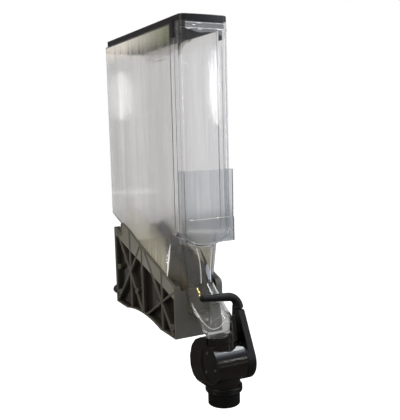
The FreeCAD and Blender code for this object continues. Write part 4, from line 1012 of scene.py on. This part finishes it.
def close_tube(rings: np.ndarray) -> Skin:
    """Joins a row of rings to a closed tube whose faces all look outwards.

    A quad joins two neighbours on a ring to the same two on the next ring, and the first and the last ring
    are capped. The volume is taken as the sum of the triple products of each quad's first three corners, and
    where it comes out negative, all faces are turned over.

    Args:
        rings: points in metres, by ring and by place on the ring.

    Returns:
        The tube's skin.
    """
    points = rings.reshape(-1, 3)
    index = np.arange(len(points)).reshape(rings.shape[:2])
    here, there = index[:-1], index[1:]
    quads = np.stack([here, np.roll(here, -1, 1), np.roll(there, -1, 1), there], axis=-1).reshape(-1, 4)
    faces = quads.tolist() + [index[0, ::-1].tolist(), index[-1].tolist()]
    centre = points.mean(axis=0)
    first, second, third = (points[quads[:, corner]] - centre for corner in (0, 1, 2))
    volume = np.einsum("ij,ij->i", np.cross(first, second), third).sum()
    if volume < 0.0:
        faces = [face[::-1] for face in faces]
    return Skin(points, faces)


def bead(path: np.ndarray, outward: Place, width: Amount, height: Amount, sides: int = ROUND_SIDES) -> Skin:
    """A bead that lies on a surface along a path.

    Each point of the path carries an ellipse, width across the path and height outwards:
    p = path + width cos(a) across + height sin(a) lift, with across = tangent x outward and
    lift = across x tangent, both of length 1.

    Args:
        path: points of the middle line, in millimetres.
        outward: the surface's normal.
        width: half width in millimetres, at each point or one for all.
        height: half height in millimetres, at each point or one for all.
        sides: corners of each ellipse.

    Returns:
        The bead's skin.
    """
    path = path * MM
    wide, high = (np.broadcast_to(half, len(path))[:, None] * MM for half in (width, height))
    tangent = np.gradient(path, axis=0)
    across = np.cross(tangent, np.array(outward))
    across /= np.linalg.norm(across, axis=1, keepdims=True)
    lift = np.cross(across, tangent)
    lift /= np.linalg.norm(lift, axis=1, keepdims=True)
    angle = np.linspace(0.0, 2.0 * np.pi, sides, endpoint=False)[None, :, None]
    ring = np.cos(angle) * (across * wide)[:, None, :]
    ring = ring + np.sin(angle) * (lift * high)[:, None, :]
    return close_tube(path[:, None, :] + ring)


def film(top: np.ndarray, bottom: np.ndarray, outward: Place) -> Skin:
    """A thin closed sheet between two curves with as many points each.

    The inner side is the curves themselves, the outer side the curves moved out by the film's thickness, and
    narrow quads close the rim.

    Args:
        top: points of the upper curve, in millimetres.
        bottom: points of the lower curve, in millimetres.
        outward: the surface's normal.

    Returns:
        The sheet's skin.
    """
    top, bottom = top * MM, bottom * MM
    thick = np.array(outward) * FILM_THICK * MM
    return close_tube(np.stack([top, bottom, bottom + thick, top + thick], axis=1))


def curve(x: Amount, y: Amount, z: Amount) -> np.ndarray:
    """Points from their three coordinates, each of them a row of numbers or one number for all."""
    return np.stack(np.broadcast_arrays(x, y, z), axis=1)


def straight(start: Place, end: Place, share: np.ndarray) -> np.ndarray:
    """Points on a straight line: start (1 - share) + end share."""
    return np.array(start) * (1.0 - share[:, None]) + np.array(end) * share[:, None]


def swell(count: int, low: float, high: float) -> np.ndarray:
    """Half widths that swell from low at both ends to high in the middle: low + (high - low) sin(pi t)."""
    return low + (high - low) * np.sin(np.pi * np.linspace(0.0, 1.0, count))


def pinch(turn: np.ndarray, least: float) -> np.ndarray:
    """Shares of a width that draws in at both ends: sqrt(sin(turn)), its sine held above least."""
    return np.sqrt(np.clip(np.sin(turn), least, 1.0))


def dome(middle: Place, reach: Place, count: int = 15) -> tuple[np.ndarray, np.ndarray]:
    """Path and widths of a small flattened dome: p(t) = middle + t reach, the width's share sqrt(1 - t^2).

    Args:
        middle: the dome's middle, in millimetres.
        reach: from the middle to an end, in millimetres.
        count: points of the path.

    Returns:
        The points of the path, and the share of the full width at each point.
    """
    t = np.linspace(-DOME_END, DOME_END, count)
    return np.array(middle) + t[:, None] * np.array(reach), np.sqrt(1.0 - t**2)


def mirrored_skin(skin: Skin) -> Skin:
    """The skin mirrored in the bin's middle plane, with its faces turned to look outwards again."""
    return Skin(skin.points * np.array([-1.0, 1.0, 1.0]), [face[::-1] for face in skin.faces])


# ---- the scene's own pieces -------------------------------------------------------------------

@dataclass
class Assembly:
    """Common ground of the scene's own sub-assemblies, which ride the bin; their sizes are millimetres."""

    wardrobe: Wardrobe

    def place(self, name: str, skin: Skin, finish: Finish, slot: str = CLEAR_SLOT) -> None:
        """Makes an object of a skin, dresses it and ties it to the bin.

        Args:
            name: the piece's name.
            skin: its surface.
            finish: its finish.
            slot: not used.
        """
        mesh = bpy.data.meshes.new(name)
        mesh.from_pydata(skin.points.tolist(), [], skin.faces)
        mesh.polygons.foreach_set("use_smooth", np.ones(len(mesh.polygons), dtype=bool))
        mesh.update()
        piece = bpy.data.objects.new(name, mesh)
        bpy.context.scene.collection.objects.link(piece)
        mesh.materials.append(self.wardrobe.get(finish))
        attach(piece, Body.BIN.value)
        LOG.info("%s placed, %d faces", name, len(skin.faces))

    def pair(self, name: str, left: Skin, finish: Finish) -> None:
        """Places a skin on the left side and its mirror image on the right."""
        self.place(f"{name}_left", left, finish)
        self.place(f"{name}_right", mirrored_skin(left), finish)


@dataclass
class HopperEdges(Assembly):
    """Painted highlights on creases, edges and the rim, a dark seam line, a fine scratch and self-lit films
    on the clear hopper.
    """

    half: float = 54.0
    front: float = -68.0
    crease_top: Range = (11.5, 203.0)
    crease_foot: Range = (34.0, 124.0)
    seam_z: Range = (212.0, 636.0)
    seam_y: float = -17.6
    lap_y: float = -36.6
    lap_out: float = 1.2
    rim_film_top: float = 3.0
    rim_film_deep: float = 44.0
    rim_film_back: float = 366.0
    step_half: float = 44.0
    step_high: float = 651.0
    step_low: float = 640.5
    glow_film_x: Range = (-44.0, 46.5)
    glow_film_top: float = 652.5
    glow_film_bottom: float = 633.0
    floor_film_y: Range = (34.0, 300.0)
    floor_film_low: float = 5.5
    floor_film_high: float = 92.0

    @property
    def line_x(self) -> float:
        """Where the middle of a line on the left wall lies."""
        return -self.half - LINE_PROUD

    @property
    def film_x(self) -> float:
        """Where the inner side of a film on the left wall lies."""
        return -self.half - FILM_THICK

    def flank_creases(self) -> None:
        """Painted highlight along the crease between each side wall and the throat's slanted flank.

        The path is straight; the width swells towards its middle and grows downwards.
        """
        share = np.linspace(0.0, 1.0, 33)
        path = straight((self.line_x, *self.crease_top), (self.line_x, *self.crease_foot), share)
        thick = swell(33, 0.6, 2.6) * (0.75 + 0.25 * share)
        self.pair("flank_crease", bead(path, (-0.96, -0.28, 0.0), thick, thick * 0.62), PAINTED_HIGHLIGHT)

    def seams(self) -> None:
        """Dark line along the seam between the body and the front moulding, and a painted highlight on the
        lap's edge beside it.

        Both run upright and waver by a sum of two sines.
        """
        z = np.linspace(*self.seam_z, 107)
        wave = 0.12 * np.sin(z / 31.0) + 0.06 * np.sin(z / 7.3)
        for name, y, x, wide, finish in (
            ("seam_line", self.seam_y, self.half, 0.50, SEAM_GREY),
            ("lap_edge", self.lap_y, self.half + self.lap_out, 0.30, PAINTED_HIGHLIGHT),
        ):
            path = curve(-x - LINE_PROUD, y + wave, z)
            skin = bead(path, LEFTWARD, swell(len(z), 0.1, wide), swell(len(z), 0.05, 0.22), FINE_SIDES)
            self.pair(name, skin, finish)

    def rim_film(self, start: float, grows: bool) -> Skin:
        """Pale, self-lit film along the rim of the left wall; its lower edge wanders as a sum of three sines.

        Args:
            start: how far back the film begins.
            grows: whether its depth grows from next to nothing along the wall, with a square root.

        Returns:
            The film's skin.
        """
        y = np.linspace(start, self.rim_film_back, 191)
        ragged = 4.0 * np.sin(y / 9.0) + 2.5 * np.sin(y / 3.7 + 1.0) + 1.5 * np.sin(y / 1.9)
        top = RIM_HEIGHT / MM - self.rim_film_top
        bottom = RIM_HEIGHT / MM - self.rim_film_deep + ragged
        if grows:
            bottom = top + (bottom - top) * np.sqrt(np.linspace(0.02, 1.0, len(y)))
        return film(curve(self.film_x, y, top), curve(self.film_x, y, bottom), LEFTWARD)

    def rim_films(self) -> None:
        """Film on the left wall, and on the right wall one that begins further back and deepens along it."""
        self.place("rim_film_left", self.rim_film(-14.0, grows=False), RIM_FILM)
        self.place("rim_film_right", mirrored_skin(self.rim_film(90.0, grows=True)), RIM_FILM)

    def rim_lines(self) -> None:
        """Painted highlights: a lit step of the front moulding under the lid, and small glints along it.

        Each line runs straight across, its width a product of two sines; each glint is a flattened dome.
        """
        x = np.linspace(-self.step_half, self.step_half, 61)
        lumps = 0.45 + 0.55 * np.abs(np.sin(x / 6.1) * np.sin(x / 2.7 + 0.4))
        for name, height, wide in (
            ("rim_line_high", self.step_high, 0.45),
            ("rim_line_low", self.step_low, 0.6),
        ):
            skin = bead(curve(x, self.front, height), FORWARD, lumps * wide, 0.25, FINE_SIDES)
            self.place(name, skin, PAINTED_HIGHLIGHT)
        for name, place, height, long, wide, finish in (
            ("rim_glint_1", -14.0, 650.5, 6.5, 0.9, PAINTED_HIGHLIGHT),
            ("rim_glint_2", -25.0, 646.5, 4.0, 1.0, PAINTED_WARM_HIGHLIGHT),
            ("rim_glint_3", -37.0, 639.0, 4.5, 0.7, PAINTED_HIGHLIGHT),
            ("rim_glint_4", -12.0, 638.5, 5.5, 0.6, PAINTED_HIGHLIGHT),
            ("rim_glint_5", 32.0, 639.5, 6.5, 0.9, PAINTED_HIGHLIGHT),
        ):
            spot, share = dome((place, self.front, height), (long, 0.0, 0.0))
            self.place(name, bead(spot, FORWARD, share * wide, share * 0.35), finish)

    def rim_glow_film(self) -> None:
        """Pale, self-lit film that lightens the front moulding under the lid, which is painted light; its
        lower edge is a slow wave.
        """
        x = np.linspace(*self.glow_film_x, 61)
        face = self.front - 0.05
        top = curve(x, face, self.glow_film_top)
        bottom = curve(x, face, self.glow_film_bottom - 0.10 * x + 2.0 * np.sin(x / 9.0))
        self.place("rim_glow_film", film(top, bottom, FORWARD), RIM_GLOW_FILM)

    def hairline(self) -> None:
        """Fine handling mark: a parabola on the side wall, and powers of its length on the front, where it is
        drawn as a painted highlight.
        """
        t = np.linspace(0.0, 1.0, 49)
        wall = curve(self.line_x, 71.4 - 71.4 * t, 587.5 + 1.6 * t * (1.0 - t))
        turn = curve(-50.0 + 11.0 * t, -62.2 - 5.6 * t**0.5, 575.2 - 5.0 * t**1.3)
        for name, path, out, finish in (
            ("hairline_wall", wall, LEFTWARD, SEAM_GREY),
            ("hairline_front", turn, (-0.5, -0.85, 0.0), PAINTED_HIGHLIGHT),
        ):
            self.place(name, bead(path, out, swell(49, 0.12, 0.5), swell(49, 0.05, 0.2), FINE_SIDES), finish)

    def floor_films(self) -> None:
        """Painted, self-lit tint on each side wall over the front of the sloped crease, for the cradle seen
        through the wall; two sines make its upper edge waver.
        """
        y = np.linspace(*self.floor_film_y, 134)
        crease = CREASE_FRONT[2] / MM + (y - CREASE_FRONT[1] / MM) * CREASE_SLOPE
        ragged = crease + self.floor_film_high + 5.0 * np.sin(y / 11.0) + 3.0 * np.sin(y / 4.1)
        top, bottom = (curve(self.film_x, y, z) for z in (ragged, crease + self.floor_film_low))
        self.pair("floor_film", film(top, bottom, LEFTWARD), FLOOR_FILM)

    def build(self) -> None:
        """Builds all lines and films."""
        self.flank_creases()
        self.seams()
        self.rim_films()
        self.rim_lines()
        self.rim_glow_film()
        self.hairline()
        self.floor_films()


@dataclass
class ThroatJoint(Assembly):
    """Painted shade where the column's arched bottom meets the throat, and painted highlights on the rim of
    the arch.
    """

    half: float = 27.5
    front: float = -45.6
    corner: float = 19.0
    arch_low: float = 204.0
    arch_r: float = 74.9
    rim_half: float = 41.0
    rim_over: float = 3.2
    end_x: Range = (-53.6, -43.6)
    end_y: float = -43.5

    def arch(self, x: np.ndarray) -> np.ndarray:
        """Height of the arched bottom at a place across it: low + r - sqrt(r^2 - x^2)."""
        return self.arch_low + self.arch_r - np.sqrt(self.arch_r**2 - x**2)

    def outline(self) -> np.ndarray:
        """Half-round path along the throat's front: side, rounded corner, front, rounded corner, side.

        Each corner is a quarter of a circle, and the height follows the arch.

        Returns:
            The path's points, in millimetres.
        """
        turn = np.linspace(0.0, np.pi / 2, 15)
        inner_x, inner_y = self.half - self.corner, self.front + self.corner
        left = np.stack([-inner_x - self.corner * np.cos(turn), inner_y - self.corner * np.sin(turn)], axis=1)
        middle = np.linspace(-inner_x, inner_x, 13)[1:-1]
        front = np.stack([middle, np.full_like(middle, self.front)], axis=1)
        right = left[::-1] * np.array([-1.0, 1.0])
        flat = np.concatenate([left, front, right])
        return np.column_stack([flat, self.arch(flat[:, 0]) - 0.4])

    def arch_line(self) -> None:
        """Painted highlight: a lit rim over the arched bottom.

        It bends back towards both ends by a sixth power, and a bell curve thickens it near each of them.
        """
        x = np.linspace(-self.rim_half, self.rim_half, 81)
        y = -63.4 + 9.0 * np.clip(np.abs(x) / 47.0, 0.0, 1.0) ** 6
        path = curve(x, y, self.arch(x) + self.rim_over)
        thick = 0.2 + 1.5 * np.exp(-(((np.abs(x) - 35.0) / 3.5) ** 2))
        self.place("arch_rim", bead(path, (0.0, -0.75, -0.66), thick, thick * 0.6), PAINTED_HIGHLIGHT)

    def arch_ends(self) -> None:
        """Painted highlights: lit beads on both ends of the arched bottom, their thickness a sum of two bell
        curves.
        """
        x = np.linspace(*self.end_x, 49)
        path = curve(x, self.end_y, self.arch(x) - 0.3)
        thick = 0.15 + 2.0 * np.exp(-(((x + 50.6) / 1.7) ** 2)) + 1.2 * np.exp(-(((x + 45.6) / 1.0) ** 2))
        thick = thick * swell(49, 0.2, 1.0)
        self.pair("arch_end", bead(path, (-0.8, 0.0, -0.6), thick, thick * 0.5), PAINTED_HIGHLIGHT)

    def build(self) -> None:
        """Builds the arch's painted lit rim and lit ends, a dark bead of painted shade along the joint and
        the painted lit line under it.
        """
        self.arch_line()
        self.arch_ends()
        path = self.outline()
        count = len(path)
        # Painted shade: a dark bead where the arch meets the throat.
        dark = bead(path, FRONT_BELOW, swell(count, 0.6, 2.2), swell(count, 0.3, 1.1))
        self.place("throat_joint", dark, PAINTED_SHADE)
        under = path + np.array([0.0, -0.5, -2.1])
        lit = bead(under, FRONT_BELOW, swell(count, 0.15, 0.45), swell(count, 0.15, 0.4), FINE_SIDES)
        self.place("throat_joint_light", lit, PAINTED_HIGHLIGHT)


@dataclass
class ThroatCorners(Assembly):
    """Lines of light and shade that the rounded, tapering corners of the throat draw."""

    low_z: float = 35.0
    high_z: float = 204.0
    half_low: float = 20.0
    half_high: float = 27.5
    round_low: float = 6.0
    round_high: float = 20.0
    front: float = -45.0
    lit_z: Range = (199.0, 124.0)

    def line(self, z: np.ndarray, angle: np.ndarray) -> np.ndarray:
        """Points on the left rounded corner.

        With share t of the height, the corner's half width is h = low + (high - low) t and its rounding r is
        found likewise; a point at an angle a from the front is x = -(h - r + r sin a),
        y = front + r (1 - cos a), and lies 0.15 proud of it.

        Args:
            z: heights in millimetres.
            angle: turn from the front's direction at each height, in degrees.

        Returns:
            The points, in millimetres.
        """
        share = (z - self.low_z) / (self.high_z - self.low_z)
        half = self.half_low + (self.half_high - self.half_low) * share
        rounding = self.round_low + (self.round_high - self.round_low) * share
        turn = np.radians(angle)
        x = -(half - rounding + rounding * np.sin(turn))
        return curve(x, self.front + rounding * (1.0 - np.cos(turn)) - 0.15, z)

    def patches(self) -> None:
        """A painted highlight patch and a painted shade patch on the throat's front: leaning domes that
        follow the right corner back.
        """
        for name, place, wide, long, lean, finish in (
            ("throat_patch", (5.6, 146.0), 4.8, 17.0, 3.0, PAINTED_PALE_PATCH),
            ("throat_shade", (14.0, 128.0), 2.8, 15.0, -1.0, PAINTED_SHADE),
        ):
            spot, share = dome((place[0], self.front - 0.1, place[1]), (-lean, 0.0, long), 25)
            spot[:, 1] += 0.11 * np.clip(spot[:, 0] - 9.0, 0.0, None) ** 1.6 / 4.0
            self.place(name, bead(spot, FORWARD, share * wide, share * 0.35), finish)

    def build(self) -> None:
        """Builds the lit line of each corner, the dark line beside the left one and the patches."""
        share = np.linspace(0.0, 1.0, 49)
        lit = self.line(np.linspace(*self.lit_z, 49), 30.0 * (1.0 - share) ** 2 + 4.0)
        wide = 0.45 + 1.2 * (1.0 - share) ** 4 + 0.3 * share
        self.pair("throat_light", bead(lit, FORWARD, wide, 0.25, FINE_SIDES), PAINTED_HIGHLIGHT)
        bow = 3.0 * np.sin(np.pi * share) ** 2
        # Painted shade: a dark line beside the left corner's lit line.
        dark = lit + curve(7.0 + 8.0 * share + bow, 0.0, 0.0)
        self.place("throat_shade_line", bead(dark, FORWARD, swell(49, 0.3, 2.4), 0.2, FINE_SIDES), PAINTED_SHADE)
        self.patches()


@dataclass
class SpoutGlints(Assembly):
    """Painted sparkles in uneven beads along the sides of the clear chute, and painted lit and dark lines by
    them.
    """

    sparkle_places: tuple[Place, ...] = (
        (-31.9, -40.0, 84.5), (-32.2, -54.0, 75.5), (-32.4, -70.0, 66.5), (-32.4, -86.0, 59.0),
        (-30.6, -103.0, 51.5),
    )
    crown: tuple[Place, ...] = (
        (-12.2, -87.9, 87.1), (-3.7, -89.4, 88.7), (5.4, -89.8, 88.1), (15.1, -89.2, 84.3),
    )
    belly: tuple[Place, ...] = (
        (-32.4, -94.3, 57.5), (-30.4, -103.1, 51.1), (-26.7, -113.0, 48.0), (-21.9, -121.0, 48.4),
        (-15.4, -125.8, 51.7), (-7.7, -126.7, 57.9), (-1.1, -123.2, 64.1),
    )

    def sparkle_beads(self) -> None:
        """Painted sparkles: a bead on each side in straight runs through the listed places, as thick as a
        product of sines.
        """
        places = np.array(self.sparkle_places)
        last = len(places) - 1
        t = np.linspace(0.0, last, 81)
        path = np.stack([np.interp(t, np.arange(last + 1), places[:, axis]) for axis in range(3)], axis=1)
        path[:, 0] -= 0.8
        lumps = 0.25 + np.abs(np.sin(t * 9.3) * np.sin(t * 3.1 + 0.7))
        thick = lumps * pinch(np.pi * t / last, 0.02)
        self.pair("chute_sparkle", bead(path, (-1.0, 0.0, 0.15), thick, thick * 0.7), PAINTED_HIGHLIGHT)

    def light_and_shade_lines(self) -> None:
        """Painted broken lines of light and shade beside each sparkle bead.

        Each line follows the chute's side, and its thickness is a raised product of two sines, so that it
        breaks up into separate short glints.
        """
        t = np.linspace(0.0, 1.0, 97)
        for number, (name, start, end, wide, finish) in enumerate((
            ("chute_glint", (-31.5, -39.0, 79.0), (-33.0, -89.0, 56.0), 0.8, PAINTED_HIGHLIGHT),
            ("chute_shade", (-32.0, -46.0, 84.0), (-33.0, -92.0, 60.0), 0.9, PAINTED_SHADE),
            ("chute_low_glint", (-31.6, -44.0, 71.0), (-32.0, -74.0, 58.0), 0.7, PAINTED_HIGHLIGHT),
        )):
            path = straight(start, end, t)
            path[:, 0] -= 0.9
            broken = np.abs(np.sin(t * (21.0 + 5.0 * number)) * np.sin(t * 8.3 + number)) ** 0.7
            thick = (0.12 + 1.5 * wide * broken) * pinch(np.pi * t, 0.02)
            self.pair(name, bead(path, (-1.0, 0.0, 0.1), thick, thick * 0.4, FINE_SIDES), finish)

    def elbow_lines(self) -> None:
        """Painted shade in a dark line over the elbow's crown, and a painted highlight in a lit line round
        its belly.

        Each line is a cubic or quartic curve, fitted per axis through places on the elbow's skin and set 0.5
        outwards; its thickness wavers as a sine.
        """
        for name, finish, out, wide, places in (
            ("elbow_crown_line", PAINTED_SHADE, (0.1, -0.6, 0.8), 0.9, np.array(self.crown)),
            ("elbow_belly_line", PAINTED_HIGHLIGHT, (-0.7, -0.65, 0.2), 0.5, np.array(self.belly)),
        ):
            last = len(places) - 1
            t = np.linspace(0.0, last, 81)
            fits = [np.polyfit(np.arange(last + 1), places[:, axis], min(last, 4)) for axis in range(3)]
            path = np.stack([np.polyval(fit, t) for fit in fits], axis=1) + 0.5 * np.array(out)
            thick = wide * (0.5 + 0.5 * np.abs(np.sin(t * 2.9))) * pinch(np.pi * t / last, 0.03)
            self.place(name, bead(path, out, thick, thick * 0.5, FINE_SIDES), finish)

    def build(self) -> None:
        """Builds the sparkle beads, the broken lines beside them and the lines on the elbow."""
        self.sparkle_beads()
        self.light_and_shade_lines()
        self.elbow_lines()


@dataclass
class LabelLedge(Assembly):
    """Painted highlights: the lit step of the label holder and two small glints on it."""

    step_z: float = 263.2
    front: float = -71.9
    half: float = 45.0

    def build(self) -> None:
        """Builds the step's line and two glints.

        The line runs across in a slow sine, thickest in its middle; each glint is a flattened dome.
        """
        x = np.linspace(-self.half, self.half, 61)
        path = curve(x, self.front, self.step_z + 0.2 * np.sin(x / 19.0))
        size = swell(len(x), 0.15, 0.42)
        self.place("ledge_line", bead(path, FORWARD, size, size * 0.8, FINE_SIDES), PAINTED_WARM_HIGHLIGHT, LABEL_SLOT)
        for name, place, long, wide, finish in (
            ("ledge_glint_left", -42.5, 5.0, 0.9, PAINTED_WARM_HIGHLIGHT),
            ("ledge_glint_right", 16.5, 1.7, 1.5, PAINTED_HIGHLIGHT),
        ):
            spot, share = dome((place, self.front, self.step_z), (long, 0.0, 0.0))
            self.place(name, bead(spot, FORWARD, share * wide, share * 0.5), finish, LABEL_SLOT)


def main() -> None:
    """Builds the studio, dresses the nodes and adds the scene's own pieces."""
    logging.basicConfig(level=logging.INFO, format="%(name)s: %(message)s")
    Studio().build()
    wardrobe = Wardrobe(SurfaceGroups())
    for node, finish in NODE_FINISH.items():
        wardrobe.dress(node, finish)
    for kind in (HopperEdges, ThroatJoint, ThroatCorners, SpoutGlints, LabelLedge):
        kind(wardrobe).build()


if __name__ == "__main__":
    main()
